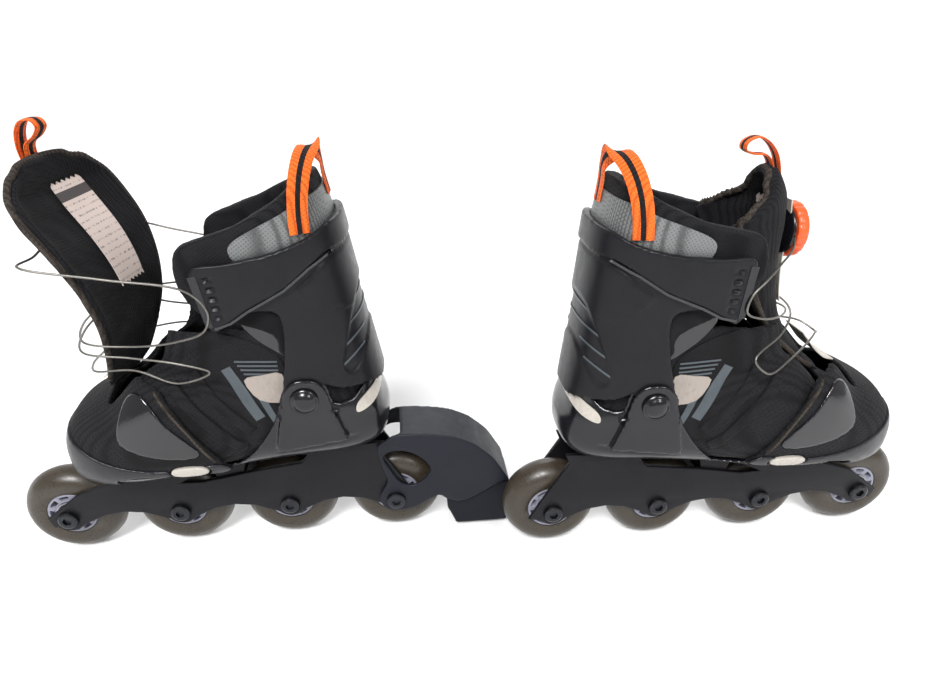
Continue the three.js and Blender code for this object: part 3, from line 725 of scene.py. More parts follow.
SHELL_SIDE = [(-130, 60), (-130, 147), (-108, 144), (-95, 134), (-82, 134), (-78, 148), (-66, 152),
              (-54, 148), (-49, 139), (-44, 124), (-31, 105), (-16, 90), (-8.5, 85.4), (61.5, 85.4),
              (61.5, 60)]
CUFF_SIDE = [(-130, 140), (-104, 140), (-88, 143), (-79, 148), (-77.5, 141), (-74, 133),
             (-66, 129.5),
             (-58, 133), (-54.5, 141), (-54, 150), (-59, 170), (-63, 192), (-60, 202), (-45, 204),
             (-30, 199), (-22, 196.5), (-19, 233), (-39, 236), (-63, 238), (-87, 243), (-102, 249),
             (-130, 251)]
BELT_HIGH = [(-130, 251), (-102, 249), (-87, 243), (-63, 238), (-39, 236), (-19, 233), (-22, 197),
             (-34, 200), (-47, 207), (-69, 216), (-85, 226), (-100, 233), (-130, 234)]
BELT_LOW = [(-130, 230), (-99, 228), (-85, 219), (-76, 212), (-84, 203), (-100, 195), (-130, 196)]
BELT_EDGE = [(-99, 232), (-85, 225.6), (-69, 215.6), (-47, 206.4), (-35, 200), (-25, 197.4)]
RECESS = [(-111, 205), (-104, 190), (-97, 170), (-93, 156), (-99, 150), (-106, 158), (-112, 175)]
GUIDE = [(-24.6, 199), (-20.5, 199), (-18.2, 231), (-23.2, 231.5)]
ARCH = [(-100, 106), (-80, 101), (-55, 98), (-42, 98), (-52, 103), (-80, 107)]
HEEL_BAND = [(-98, 124), (-98, 130), (-108, 136.5), (-120, 145), (-135, 148), (-135, 137),
             (-119, 135), (-108, 127)]
COLLAR_SIDE = [(-130, 168), (-130, 273), (-88, 272), (-71, 264), (-54, 257), (-34, 251), (-12, 244),
               (-8, 225), (-12, 208), (-24, 200), (-40, 194), (-56, 184), (-62, 168)]
SILVER_SIDE = [(-135, 234), (-135, 266), (-95, 265), (-75, 258), (-58, 252), (-47, 247), (-43, 242),
               (-46, 235), (-60, 231)]
UPPER_SIDE = [(-130, 60), (-130, 150), (-64, 150), (-60, 178), (-44, 186), (-28, 190), (-8, 187),
              (40, 184), (60, 160), (80, 150), (80, 60)]
FOOTBED_SIDE = [(-106, 60), (-106, 97), (-45, 97), (0, 92), (40, 87.5), (78, 86), (78, 60)]
ANKLE_PANEL = [(-66, 204), (-50, 205), (-33, 198), (-36, 188), (-48, 176), (-62, 170)]
QUARTER = [(-50, 118), (-26, 112), (-14, 132), (-4, 160), (-9, 184), (-22, 186), (-44, 176),
           (-55, 160)]
PATCH = [(-29, 154), (-40, 157), (-53, 157), (-53, 138), (-37, 140)]
CAP_SIDE = [(-7, 86), (-7, 98), (5, 119), (17, 142), (23, 152), (40, 158), (62, 170), (140, 170),
            (140, 50), (62.5, 50), (62.5, 86)]
RAND = [(-6, 87), (-5, 97), (26, 93), (50, 97), (68, 103), (84, 112), (98, 120), (118, 122),
        (130, 110), (130, 50), (62.5, 50), (62.5, 86)]
WEDGE = [(49, 138), (41, 149), (31, 147), (19, 128), (4, 107), (27, 105), (52, 117)]
RAIL_TOP = [(-112, 85.5), (-86, 84.6), (-55, 82.6), (-20, 79.6), (10, 75.4), (35, 72.6), (61, 71.6),
            (66, 66), (81, 65), (107, 56), (133, 36), (130, 27)]


def strip(points, width):
    """Outline of a line with a width, from a row of x and z points."""
    pts = [Vector(p) for p in points]
    left, right = [], []
    for i, p in enumerate(pts):
        along = (pts[min(i + 1, len(pts) - 1)] - pts[max(i - 1, 0)]).normalized()
        across = Vector((-along.y, along.x)) * width / 2
        left.append(tuple(p + across))
        right.append(tuple(p - across))
    return left + right[::-1]


def smooth_line(points):
    return [tuple(p) for p in smooth_rows(points, 5)]


def patch(name, outline, lift, sunk=1.0, steps=4, base=0.0):
    """Thin raised trim on the boot's surface: base is the surface's own offset."""
    return shade(layer(name, base - sunk, base + lift, outline, steps))


# ---------------------------------------------------------------- operators

class SkateOperator:
    bl_options = {"REGISTER", "UNDO"}

    def execute(self, context):
        deselect()
        self.build(context)
        return {"FINISHED"}


class SKATES_OT_stage(SkateOperator, bpy.types.Operator):
    """Floor, soft lights and camera"""
    bl_idname = "skates.stage"
    bl_label = "Stage"

    def build(self, context):
        n = Nodes("floor_paint")
        n.set(Roughness=0.8, Specular_IOR_Level=0.1)
        n.finish(n.ramp(n.noise(9, 4), (0.2, 0.88), (0.8, 0.91)), None,
                 n.bump(n.noise(500, 2), 0.02))
        for name, away, turn in (("floor", 0, 0), ("wall", WALL_DISTANCE, math.pi / 2)):
            bpy.ops.mesh.primitive_plane_add(
                size=STAGE_SIZE, location=(0, away, 0), rotation=(turn, 0, 0))
            context.object.name = name
            context.object.data.materials.append(n.material)
        world = bpy.data.worlds.new("studio")
        context.scene.world = world
        world.use_nodes = True
        sky = world.node_tree.nodes["Background"].inputs
        sky["Color"].default_value = (1, 1, 1, 1)
        sky["Strength"].default_value = SKY_STRENGTH
        sun = bpy.data.lights.new("daylight", "SUN")
        sun.energy, sun.angle = SUN_STRENGTH, SUN_SPREAD
        lamp = bpy.data.objects.new("daylight", sun)
        context.collection.objects.link(lamp)
        lamp.rotation_euler = SUN_TURN
        for name, place, size, power in LAMPS:
            light = bpy.data.lights.new(name, "AREA")
            light.size, light.energy = size, power
            lamp = bpy.data.objects.new(name, light)
            context.collection.objects.link(lamp)
            lamp.location = place
            aim = LAMP_TARGET - Vector(place)
            lamp.rotation_euler = aim.to_track_quat("-Z", "Y").to_euler()
        lens = bpy.data.cameras.new("camera")
        lens.lens, lens.sensor_width, lens.shift_y = LENS_MM, SENSOR_MM, LENS_SHIFT
        lens.clip_start = 0.02
        camera = bpy.data.objects.new("camera", lens)
        context.collection.objects.link(camera)
        camera.location = CAMERA_PLACE
        facing = (Matrix.Rotation(CAMERA_TURN, 4, "Z")
                  @ Matrix.Rotation(math.pi / 2 - CAMERA_DROP, 4, "X")
                  @ Matrix.Rotation(CAMERA_ROLL, 4, "Z"))
        camera.rotation_euler = facing.to_euler()
        context.scene.camera = camera
        context.scene.view_settings.view_transform = "Standard"


LACE_OPEN = [
    (68.8, 21.1, 245.8), (74, 34, 238), (76, 50, 237), (34, 50, 228), (-8, 47.5, 218),
    (-18, 48, 205),
    (-14, 48, 193), (4, 46, 186), (32, 41, 182), (61, 36, 184), (68, 16, 188), (64, -8, 190),
    (52, -30, 187), (32, -40, 178), (6, -47, 171), (-12, -47, 167), (0, -47, 159), (32, -38, 163),
    (56, -27, 162), (67, -12, 160), (70.5, 1, 159), (69, 17, 160), (61, 32, 162), (36, 37, 164),
    (8, 46, 158), (-12, 47, 165), (6, 47, 172), (34, 42, 175), (63, 37, 178), (69, 14, 183),
    (62, -12, 188), (46, -34, 192), (14, -46, 192), (-14, -48, 195), (-18, -48, 206),
    (-8, -47.5, 219), (26, -46, 230), (52, -44, 238), (57, -30, 243), (60.4, -10.5, 248.6),
]
LACE_CLOSED = [
    (19.5, 16.4, 237.6), (14.5, 25, 233), (1, 37, 227), (-10, 45, 221), (-19, 48.3, 213),
    (-20, 48.3, 203), (-8, 45, 197), (14, 29, 191), (30, 6, 187), (28.5, -14, 184), (14, -34, 178),
    (-8, -48, 171), (2, -48.5, 161), (24, -34, 162), (44, -20, 168), (54, -10, 169), (61, 0, 165),
    (54, 10, 169), (44, 20, 168), (24, 34, 162), (2, 48.5, 161), (-8, 48, 171), (14, 34, 181),
    (28.5, 16, 188), (30, -5, 191), (14, -29, 194), (-8, -45, 199), (-20, -48.3, 205),
    (-19, -48.3, 215), (-10, -45, 223), (1, -37, 229), (14.5, -25, 235), (19.5, -16.4, 238.4),
]
LACE_SPAN = {"left": ((6, 0, 190), (60, 0, 190)), "right": ((0, 0, 190), (28, 0, 190))}


class SKATES_OT_laces(SkateOperator, bpy.types.Operator):
    """Steel lace of each skate, from the dial through the guides and back"""
    bl_idname = "skates.laces"
    bl_label = "Laces"

    def build(self, context):
        radius = sizes().lace_diameter / 2
        for side, route in (("left", LACE_OPEN), ("right", LACE_CLOSED)):
            matrix = world_matrix(side)
            line = [matrix @ (Vector(p) * MM) for p in centripetal(route, 8)]
            mesh = tube(side + "_lace_skin", line, radius)
            mesh.data.materials.append(finish_named("steel"))
            for polygon in mesh.data.polygons:
                polygon.use_smooth = True
            length = sum((b - a).length for a, b in zip(line, line[1:]))
            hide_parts(side + "_lace")
            start, end = (matrix @ (Vector(p) * MM) for p in LACE_SPAN[side])
            tuple(start)
            tuple(end)
            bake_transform(mesh)
            tuple(line[0])
            [tuple(p) for p in line]


def centripetal(points, steps):
    """Centripetal Catmull-Rom curve through points."""
    pts = [Vector(p) for p in points]
    pts = [2 * pts[0] - pts[1]] + pts + [2 * pts[-1] - pts[-2]]
    out = []
    for i in range(1, len(pts) - 2):
        p = pts[i - 1:i + 3]
        t = [0.0]
        for k in range(3):
            t.append(t[-1] + max((p[k + 1] - p[k]).length, 1e-6) ** 0.5)
        for k in range(steps):
            s = t[1] + (t[2] - t[1]) * k / steps
            a = [p[j].lerp(p[j + 1], (s - t[j]) / (t[j + 1] - t[j])) for j in range(3)]
            b = [a[j].lerp(a[j + 1], (s - t[j]) / (t[j + 2] - t[j])) for j in range(2)]
            out.append(b[0].lerp(b[1], (s - t[1]) / (t[2] - t[1])))
    out.append(pts[-2])
    return out


def tube(name, line, radius, sides=8):
    """Round cord along a line of points, in metres, with a frame carried along it."""
    verts, faces = [], []
    side = None
    for i, here in enumerate(line):
        along = (line[min(i + 1, len(line) - 1)] - line[max(i - 1, 0)]).normalized()
        side = along.orthogonal() if side is None else side - along * side.dot(along)
        side.normalize()
        up = along.cross(side)
        for k in range(sides):
            angle = 2 * math.pi * k / sides
            verts.append(here + (side * math.cos(angle) + up * math.sin(angle)) * radius)
    for i in range(len(line) - 1):
        for k in range(sides):
            j = (k + 1) % sides
            faces.append((i * sides + k, i * sides + j, (i + 1) * sides + j, (i + 1) * sides + k))
    last = (len(line) - 1) * sides
    faces += [tuple(range(sides - 1, -1, -1)), tuple(range(last, last + sides))]
    data = bpy.data.meshes.new(name)
    data.from_pydata([tuple(v) for v in verts], [], faces)
    obj = bpy.data.objects.new(name, data)
    bpy.context.collection.objects.link(obj)
    return outward(obj)


def bead(name, points, radius):
    """Piping or a sewn bead through points in millimetres."""
    return shade(tube(name, [Vector(p) * MM for p in points], radius * MM), 60)


RIVET = [(0, 39.6), (3, 39.6), (3, 47.3), (8.7, 47.3), (9, 47.8), (8.9, 48.6), (8.4, 49.2),
         (7.7, 49.5), (7.3, 49.3), (6.9, 49.5), (6.2, 50.2), (5, 50.9), (3.4, 51.4), (1.7, 51.65),
         (0, 51.7)]


class SKATES_OT_shells(SkateOperator, bpy.types.Operator):
    """Lower shells with the pivot lobes, heel bands and cuff rivets"""
    bl_idname = "skates.shells"
    bl_label = "Shells"

    def build(self, context):
        shell = layer("shell", 0.3, 3.3, SHELL_SIDE, 4)
        lobe_area = side_block([(-92, 104), (-44, 104), (-49, 128), (-51, 141)]
                               + arc(-66, 141, 15, 0, 180, 14) + [(-81, 141), (-84, 128)])
        lobe = copy_of(form(10.0), "lobe")
        combine(lobe, lobe_area, "INTERSECT")
        combine(lobe, form(2.6), "DIFFERENCE", keep=True)
        slot_area = side_block([(-100, 127), (-40, 127), (-40, 170), (-100, 170)])
        slot = copy_of(form(7.9), "slot")
        combine(slot, slot_area, "INTERSECT")
        combine(slot, form(3.4), "DIFFERENCE", keep=True)
        combine(lobe, slot, "DIFFERENCE")
        combine(shell, lobe, "UNION")
        groove = layer("groove", 2.1, 12, ARCH, 5)
        combine(shell, groove, "DIFFERENCE")
        for y in (-1, 1):
            hole = turned("hole", [(0, 20 * y), (3.6, 20 * y), (3.6, 47 * y), (9.8, 47 * y),
                                   (9.8, 70 * y), (0, 70 * y)], 40, PIVOT_PLACE)
            combine(shell, hole, "DIFFERENCE")
        soften(shell, 1.3 * MM, 4)
        put_both(shell, "shell", "root", ["gloss"], "gloss", ["shell"])
        put_both(patch("heel_band", HEEL_BAND, 1.0, 1.2, 4, 3.2), "heel_band", "root", ["trim"],
                 "silver")
        for y, node in ((1, "rivet_outer"), (-1, "rivet_inner")):
            rivet = turned(node, [(r, a * y) for r, a in RIVET], 56, PIVOT_PLACE)
            put_both(shade(rivet, 30), node, "root", ["gloss"], "gloss", [node])


class SKATES_OT_cuffs(SkateOperator, bpy.types.Operator):
    """Hinged cuffs with their belts, recess stripes and lace guides"""
    bl_idname = "skates.cuffs"
    bl_label = "Cuffs"

    def build(self, context):
        cuff = layer("cuff", 4.3, 7.2, CUFF_SIDE, 4)
        combine(cuff, layer("belt", 5.4, 9.8, BELT_HIGH, 4), "UNION")
        combine(cuff, layer("belt", 5.4, 8.4, BELT_LOW, 4), "UNION")
        combine(cuff, layer("recess", 6.0, 12, RECESS, 5), "DIFFERENCE")
        hole = turned("hole", [(0, -70), (3.6, -70), (3.6, 70), (0, 70)], 32, PIVOT_PLACE)
        combine(cuff, hole, "DIFFERENCE")
        for k in range(5):
            z = 203 + 6 * k
            slot = [(-32, z), (-25.5, z - 0.5), (-25.2, z + 2.4), (-31.8, z + 3)]
            combine(cuff, layer("slot", 7.6, 12, slot, 0), "DIFFERENCE")
        soften(cuff, 1.15 * MM, 3)
        put_both(cuff, "cuff", "cuff", ["plastic"], "plastic", ["cuff"])
        for k in range(4):
            line = strip([(-112 + 1.5 * k, 199 - 11 * k), (-100 + 2.5 * k, 193 - 12 * k)], 1.3)
            put_both(patch("cuff_stripe", line, 0.5, 0.6, 0, 6.0), "cuff_stripe_%d" % (k + 1),
                     "cuff", ["stripe"], "plastic")
        put_both(patch("ankle_panel", ANKLE_PANEL, 0.9, 1.2, 4, 0.4), "ankle_panel", "root",
                 ["patent"], "gloss")
        put_both(shade(layer("belt_edge", 8.4, 10.1, strip(BELT_EDGE, 1.5), 0)), "belt_edge",
                 "cuff", ["patent"], "plastic")
        for y, tag in ((1, "outer"), (-1, "inner")):
            ends = (-80, -20) if y < 0 else (20, 80)
            guide = layer("guide", 8.6, 10.2, GUIDE, 0, *ends)
            put_both(shade(guide), "lace_guide_" + tag, "cuff", ["gloss"], "plastic")


class SKATES_OT_collars(SkateOperator, bpy.types.Operator):
    """Padded ankle collars with their silver mesh panels"""
    bl_idname = "skates.collars"
    bl_label = "Collars"

    def build(self, context):
        collar = leg_form("collar", 3.0)
        combine(collar, side_block(COLLAR_SIDE, steps=4), "INTERSECT")
        combine(collar, leg_form("collar_inside", -7.5), "DIFFERENCE")
        soften(collar, 1.7 * MM, 9)
        wrinkle(collar, 0.5, 46, 5)
        for obj in put_both(collar, "collar", "cuff", ["lining"], "lining", ["collar"]):
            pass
        silver = leg_form("collar_panel", 4.0)
        combine(silver, side_block(SILVER_SIDE, steps=4), "INTERSECT")
        combine(silver, leg_form("inside", 1.6), "DIFFERENCE")
        put_both(shade(silver, 40), "collar_panel", "cuff", ["silver"], "silver")


def leg_form(name, offset):
    return loft(name, [superring(
        (front - back) / 2 + offset, half + offset, lambda a: 2.9,
        lambda x, y, z=z, m=(back + front) / 2: (m + x, y, z), 96)
        for z, back, front, half in smooth_rows(LEG, 4)])


def wrinkle(obj, depth, pitch, seed):
    """Gentle unevenness of stuffed cloth, pushed along the surface normals, in millimetres."""
    place, normal = points_of(obj)
    spot = place.reshape(-1, 3) * (2 * math.pi / (pitch * MM))
    push = sum(np.sin(spot @ axis + seed * k) for k, axis in enumerate(
        np.array([(1.0, 0.4, 0.8), (-0.6, 1.3, 1.7), (2.1, -0.7, 0.5), (0.4, 2.2, -1.6)])))
    place = place + normal * np.repeat(push, 3) * (depth * MM / 3)
    obj.data.vertices.foreach_set("co", place)
    obj.data.update()


class SKATES_OT_uppers(SkateOperator, bpy.types.Operator):
    """Soft inner uppers with ribs, printed slashes, patches and footbeds"""
    bl_idname = "skates.uppers"
    bl_label = "Uppers"

    def build(self, context):
        upper = copy_of(form(0), "upper")
        combine(upper, side_block(UPPER_SIDE, steps=4), "INTERSECT")
        combine(upper, form(-2.4), "DIFFERENCE", keep=True)
        combine(upper, cutter_box((0.0005, 0, 0.190), (0.121, 0.054, 0.14)), "DIFFERENCE")
        soften(upper, 1.3 * MM, 4)
        wrinkle(upper, 0.25, 30, 3)
        for obj in put_both(upper, "upper", "root", ["cloth"], "fabric", ["upper"]):
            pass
        put_both(patch("quarter", QUARTER, 0.9, 1.0), "quarter", "root", ["quarter"], "fabric")
        slashes = [([(-19, 163), (-27, 146), (-36, 127)], 6.5), ([(-38, 142), (-46, 122)], 4.0)]
        slashes += [([(-25 - 1.5 * k, 167.5 - 3 * k), (-51, 166 - 3 * k)], 1.2) for k in range(4)]
        for k, (line, width) in enumerate(slashes):
            put_both(patch("slash", strip(line, width), 1.3, 1.0, 0), "slash_%d" % (k + 1), "root",
                     ["stripe"], "fabric")
        put_both(patch("ankle_patch", PATCH, 1.5, 1.0, 3), "ankle_patch", "root", ["reflect"],
                 "silver")
        ribs = ([(15, 155), (2, 135), (-15, 112), (-24, 105)], [(2, 161), (-13, 138), (-30, 118)])
        for k, line in enumerate(ribs):
            rib = layer("rib", -1.2, 2.0, strip(smooth_line(line), 7.5), 0)
            put_both(soften(rib, 0.9 * MM, 5), "rib_%d" % (k + 1), "root", ["quarter"], "fabric")
        footbed = copy_of(form(-2.8), "footbed")
        combine(footbed, side_block(FOOTBED_SIDE), "INTERSECT")
        put_both(shade(footbed), "footbed", "root", ["lining"], "lining", ["footbed"])


class SKATES_OT_toes(SkateOperator, bpy.types.Operator):
    """Sliding toe caps with rand, textured top, gloss wedges, seam and size button"""
    bl_idname = "skates.toes"
    bl_label = "Toes"

    def build(self, context):
        cap = cap_layer("toe_box", 0.6, 3.6, CAP_SIDE)
        combine(cap, cutter_box((0.03025, 0, 0.155), (0.0605, 0.06, 0.09)), "DIFFERENCE")
        combine(cap, side_block(oval(*BUTTON_PLACE, 24.8, 9.8), 20, 80), "DIFFERENCE")
        soften(cap, 1.3 * MM, 4)
        put_both(cap, "toe_box", "toe", ["cloth"], "gloss", ["toe_box"])
        rand = cap_layer("toe_rand", 2.4, 4.9, RAND)
        combine(rand, side_block(oval(*BUTTON_PLACE, 27, 11.5), 20, 80), "DIFFERENCE")
        put_both(soften(rand, 0.95 * MM, 3), "toe_rand", "toe", ["rand"], "gloss")
        for y, tag in ((1, "outer"), (-1, "inner")):
            ends = (-80, -12) if y < 0 else (12, 80)
            wedge = cap_layer("toe_wedge", 2.6, 5.0, WEDGE, *ends)
            put_both(soften(wedge, 0.8 * MM, 3), "toe_wedge_" + tag, "toe", ["patent"], "gloss")
        seam = strip([(-3, 101), (5, 116), (14, 133), (24, 150)], 1.5)
        put_both(shade(cap_layer("toe_seam", 2.6, 4.6, seam)), "toe_seam", "toe", ["seam"],
                 "fabric")
        button = cap_layer("size_button", 2.0, 5.2, oval(*BUTTON_PLACE, 24, 9), 20, 80)
        put_both(soften(button, 0.7 * MM, 4), "size_button", "button", ["trim"], "silver",
                 ["size_button"])


def oval(x, z, length, height, count=28):
    return [(x + length / 2 * math.copysign(abs(math.cos(a)) ** 0.8, math.cos(a)),
             z + height / 2 * math.copysign(abs(math.sin(a)) ** 0.8, math.sin(a)))
            for a in (2 * math.pi * i / count for i in range(count))]


def cap_form(offset):
    """Boot form at stages of the toe's travel, so the cap always clears it."""
    key = "cap%.2f" % offset
    if key not in FORMS:
        obj = copy_of(form(offset), key)
        for travel in (-8, -16, -24):
            back = copy_of(form(offset), "back")
            back.data.transform(Matrix.Translation((travel * MM, 0, 0)))
            combine(obj, back, "UNION")
        FORMS[key] = obj
    return FORMS[key]


def cap_layer(name, inner, outer, outline, low=-90, high=90, steps=4):
    obj = copy_of(cap_form(outer), name)
    combine(obj, side_block(outline, low, high, steps if len(outline) < 14 else 0), "INTERSECT")
    combine(obj, cap_form(inner), "DIFFERENCE", keep=True)
    return obj


def tongue_point(row, t, lift, spread):
    """Point of the tongue: t runs across it from edge to edge, lift is 0 at the front face."""
    rows = TONGUE_FINE
    i = min(max(int(row), 0), len(rows) - 2)
    mix = row - i
    z, thick, *shapes = rows[i] * (1 - mix) + rows[i + 1] * mix
    x, half, wrap = shapes[3:] if spread else shapes[:3]
    column = 5 if spread else 2
    before, after = rows[max(i - 1, 0)], rows[min(i + 2, len(rows) - 1)]
    along = Vector((after[column] - before[column], after[0] - before[0])).normalized()
    back = Vector((-along.y, along.x))
    depth = wrap * (1 - math.sqrt(1 - 0.96 * t * t)) / 0.8 + lift * thick * (1 - 0.35 * abs(t) ** 3)
    return (x + back.x * depth, half * t * (1 - 0.12 * abs(t) * max(lift, 0)), z + back.y * depth)


TONGUE_FINE = smooth_rows(TONGUE, 6)


def row_at(height):
    heights = TONGUE_FINE[:, 0]
    i = int(np.searchsorted(heights, height)) - 1
    i = min(max(i, 0), len(heights) - 2)
    return i + (height - heights[i]) / (heights[i + 1] - heights[i])


def narrow(obj, side):
    """Gives the left (spread) tongue's mesh its own data; nothing is narrowed here."""
    if side == "left":
        middle = world_matrix(side) @ Vector((0, 7 * MM, 0.2))
        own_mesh(obj)


class SKATES_OT_tongues(SkateOperator, bpy.types.Operator):
    """Padded tongues with binding, care label, pull loop and pale strip"""
    bl_idname = "skates.tongues"
    bl_label = "Tongues"

    def build(self, context):
        for side in SIDES:
            spread = side == "left"
            self.pad(side, spread)
            self.binding(side, spread)
            self.label(side, spread)
            loop = ribbon("tongue_loop", [
                ((10, 0, 266), (0, 1, 0)), ((8.4, 0, 275), (0, 1, 0)), ((5, 0, 284), (0, 1, 0)),
                ((-1, 0, 291), (0, 1, 0)), ((-8, 0, 294), (0, 1, 0)), ((-14.5, 0, 291.5),
                (0, 1, 0)),
                ((-15, 0, 287), (0, 1, 0)), ((-9, 0, 284.5), (0, 1, 0)), ((-1, 0, 283.5),
                (0, 1, 0)),
                ((3.5, 0, 277), (0, 1, 0)), ((4.6, 0, 268), (0, 1, 0))], 9, 1.4, (0, 1, 0))
            put(shade(loop, 30), side, "tongue_loop", "tongue", ["orange_web", "black_web"],
                "orange")
            strip_stops = []
            for height in (192, 200, 215, 232, 247, 258):
                x, _, z = tongue_point(row_at(height), 0, 0, spread)
                strip_stops.append(((x + 1.6, 0, z), (0, 1, 0)))
            plate_strip = ribbon("tongue_plate", strip_stops, 16, 2)
            put(shade(plate_strip, 30), side, "tongue_plate", "tongue", ["trim"], "silver",
                ["tongue_plate"])

    def pad(self, side, spread):
        rings = []
        across = [-1 + 2 * k / 24 for k in range(25)]
        for row in range(len(TONGUE_FINE)):
            quilt = 0.08 * math.sin(row * 0.9) if 10 < row < 46 else 0
            front = [tongue_point(row, t, -0.06 * (1 - t * t), spread) for t in across]
            back = [tongue_point(row, t, 1 + (0.14 + quilt) * (1 - t ** 4), spread)
                    for t in across[::-1]]
            rings.append(front + back)
        pad = loft("tongue", rings)
        apply(pad, "REMESH", mode="VOXEL", voxel_size=1.2 * MM)
        apply(pad, "SMOOTH", factor=0.5, iterations=4)
        wrinkle(pad, 0.3, 34, 2)
        for polygon in pad.data.polygons:
            polygon.use_smooth = True
        put(pad, side, "tongue", "tongue", ["lining"], "fabric", ["tongue"])
        narrow(pad, side)

    def binding(self, side, spread):
        line = []
        rows = [3 + 0.5 * k for k in range(2 * len(TONGUE_FINE) - 9)]
        for row in rows:
            line.append(tongue_point(row, 0.99, 0.32, spread))
        top = rows[-1]
        for k in range(1, 12):
            line.append(tongue_point(top, 0.99 - 1.98 * k / 12, 0.4, spread))
        for row in rows[::-1]:
            line.append(tongue_point(row, -0.99, 0.32, spread))
        binding = bead("tongue_binding", line, 1.9)
        narrow(put(binding, side, "tongue_binding", "tongue", ["seam"], "fabric"), side)

    def label(self, side, spread):
        columns, lines = 12, 30
        centre, half = LABEL_SPREAD if spread else LABEL_FOLDED
        bottom, top = LABEL_RISE
        verts, uvs = [], []
        for i in range(lines + 1):
            row = row_at(bottom + (top - bottom) * i / lines)
            for j in range(columns + 1):
                t = centre - half + 2 * half * j / columns
                x, y, z = tongue_point(row, t, 1.4 - 0.1 * abs(t), spread)
                zig = (0.9 if j % 2 else -0.9) if i in (0, lines) else 0
                verts.append((x, y, z + zig))
                uvs.append((j / columns, i / lines))
        faces = [(i * (columns + 1) + j, i * (columns + 1) + j + 1, (i + 1) * (columns + 1) + j + 1,
                  (i + 1) * (columns + 1) + j) for i in range(lines) for j in range(columns)]
        label = mesh_object("care_label", verts, faces)
        layer_uv = label.data.uv_layers.new(name="UVMap")
        for loop in label.data.loops:
            layer_uv.data[loop.index].uv = uvs[loop.vertex_index]
        activate(label)
        bpy.ops.object.mode_set(mode="EDIT")
        bpy.ops.mesh.select_all(action="SELECT")
        bpy.ops.mesh.normals_make_consistent(inside=False)
        bpy.ops.object.mode_set(mode="OBJECT")
        apply(label, "SOLIDIFY", thickness=0.5 * MM, offset=0)
        put(shade(label, 40), side, "care_label", "tongue", [label_finish()], "lining")


class SKATES_OT_dials(SkateOperator, bpy.types.Operator):
    """Lace dials: base, spool and ridged knob, with the lace plate below"""
    bl_idname = "skates.dials"
    bl_label = "Dials"

    def build(self, context):
        base = turned("dial_base", [(0, 0.6), (13.4, 0.6), (14.6, 1.1), (15.2, 2), (15.2, 2.7),
                                    (14.7, 3.1), (0, 3.1)], 64, (0, 0, DIAL_Z), "X")
        spool = turned("dial_spool", [(0, 3.5), (7.9, 3.5), (7.9, 4), (7.1, 4.4), (7.1, 5.2),
                                      (7.9, 5.6), (7.9, 6.1), (0, 6.1)], 48, (0, 0, DIAL_Z), "X")
        knob = turned("dial_knob", [(0, 6.5), (8.5, 6.5), (8.5, 3.6), (16.4, 3.6), (17.1, 4.2),
                                    (17.4, 5),
                                    (17.4, 8.6), (16.9, 9.9), (15.6, 10.8), (13.6, 10.8),
                                    (12.6, 10.1),
                                    (11.6, 9.9), (5, 10.1), (0, 10.2)], 160, (0, 0, DIAL_Z), "X")
        for vert in knob.data.vertices:
            arm = Vector((0, vert.co.y, vert.co.z - DIAL_Z * MM))
            if arm.length > 16 * MM:
                inset = 1 - 0.03 * max(0, math.cos(16 * math.atan2(arm.z, arm.y))) ** 2
                vert.co.y, vert.co.z = arm.y * inset, DIAL_Z * MM + arm.z * inset
        for obj, name, group, finish, slot, nodes in (
                (base, "dial_base", "tongue", "gloss", "plastic", []),
                (spool, "dial_spool", "spool", "bolt", "steel", ["dial_spool"]),
                (knob, "dial_knob", "knob", "orange", "orange", ["dial_knob"])):
            shade(obj, 40)
            for side in SIDES:
                copy = copy_of(obj, name)
                copy.data.transform(Matrix.Translation((DIAL_FACE[side] * MM, 0, 0)))
                put(copy, side, name, group, [finish], slot, nodes)
            bpy.data.objects.remove(obj)
        for side in SIDES:
            forward = PLATE_FORWARD[side]
            stops = [((x + forward * 0.85, 0, z + 1.2 - forward * 0.2), (0, 1, 0))
                     for x, z in ((65, 148.5), (58, 150.3), (50, 156.6), (44, 163.2), (38, 170))]
            plate_obj = ribbon("lace_plate", stops, 22, 2, steps=5)
            put(shade(plate_obj, 30), side, "lace_plate", "tongue", ["trim"], "steel",
                ["lace_plate"])


class SKATES_OT_loops(SkateOperator, bpy.types.Operator):
    """Striped webbing pull loops at the heel"""
    bl_idname = "skates.loops"
    bl_label = "Heel loops"

    def build(self, context):
        loop = ribbon("heel_loop", [
            ((-99.4, -6, 258), (0, 1, 0)), ((-98, -6, 270), (0, 1, 0)), ((-98, -5, 279),
            (0, 1, 0.1)), ((-97.5, 1, 286), (0.3, 1, 0)), ((-95.5, 11, 289), (0.6, 0.8, 0)),
            ((-92.5, 22, 286), (0.8, 0.6, 0)), ((-89.5, 31, 278), (0.9, 0.45, 0)),
            ((-87, 35.8, 268), (0.9, 0.43, 0)), ((-85, 37, 257), (0.9, 0.43, 0)),
            ((-84, 37.4, 245.5), (0.9, 0.43, 0))],
            sizes().webbing_width / MM, 1.4, (0, 0, 0, 1, 1, 0, 0, 0))
        put_both(shade(loop, 30), "heel_loop", "cuff", ["orange_web", "black_web"], "webbing",
                 ["heel_loop"])


BEARING_RING = [(4.2, 5), (10.8, 5), (10.8, 11.4), (9.9, 11.8), (9.4, 11.3), (6.2, 11.3),
                (5.8, 11.9), (4.2, 11.9), (4.2, 5)]


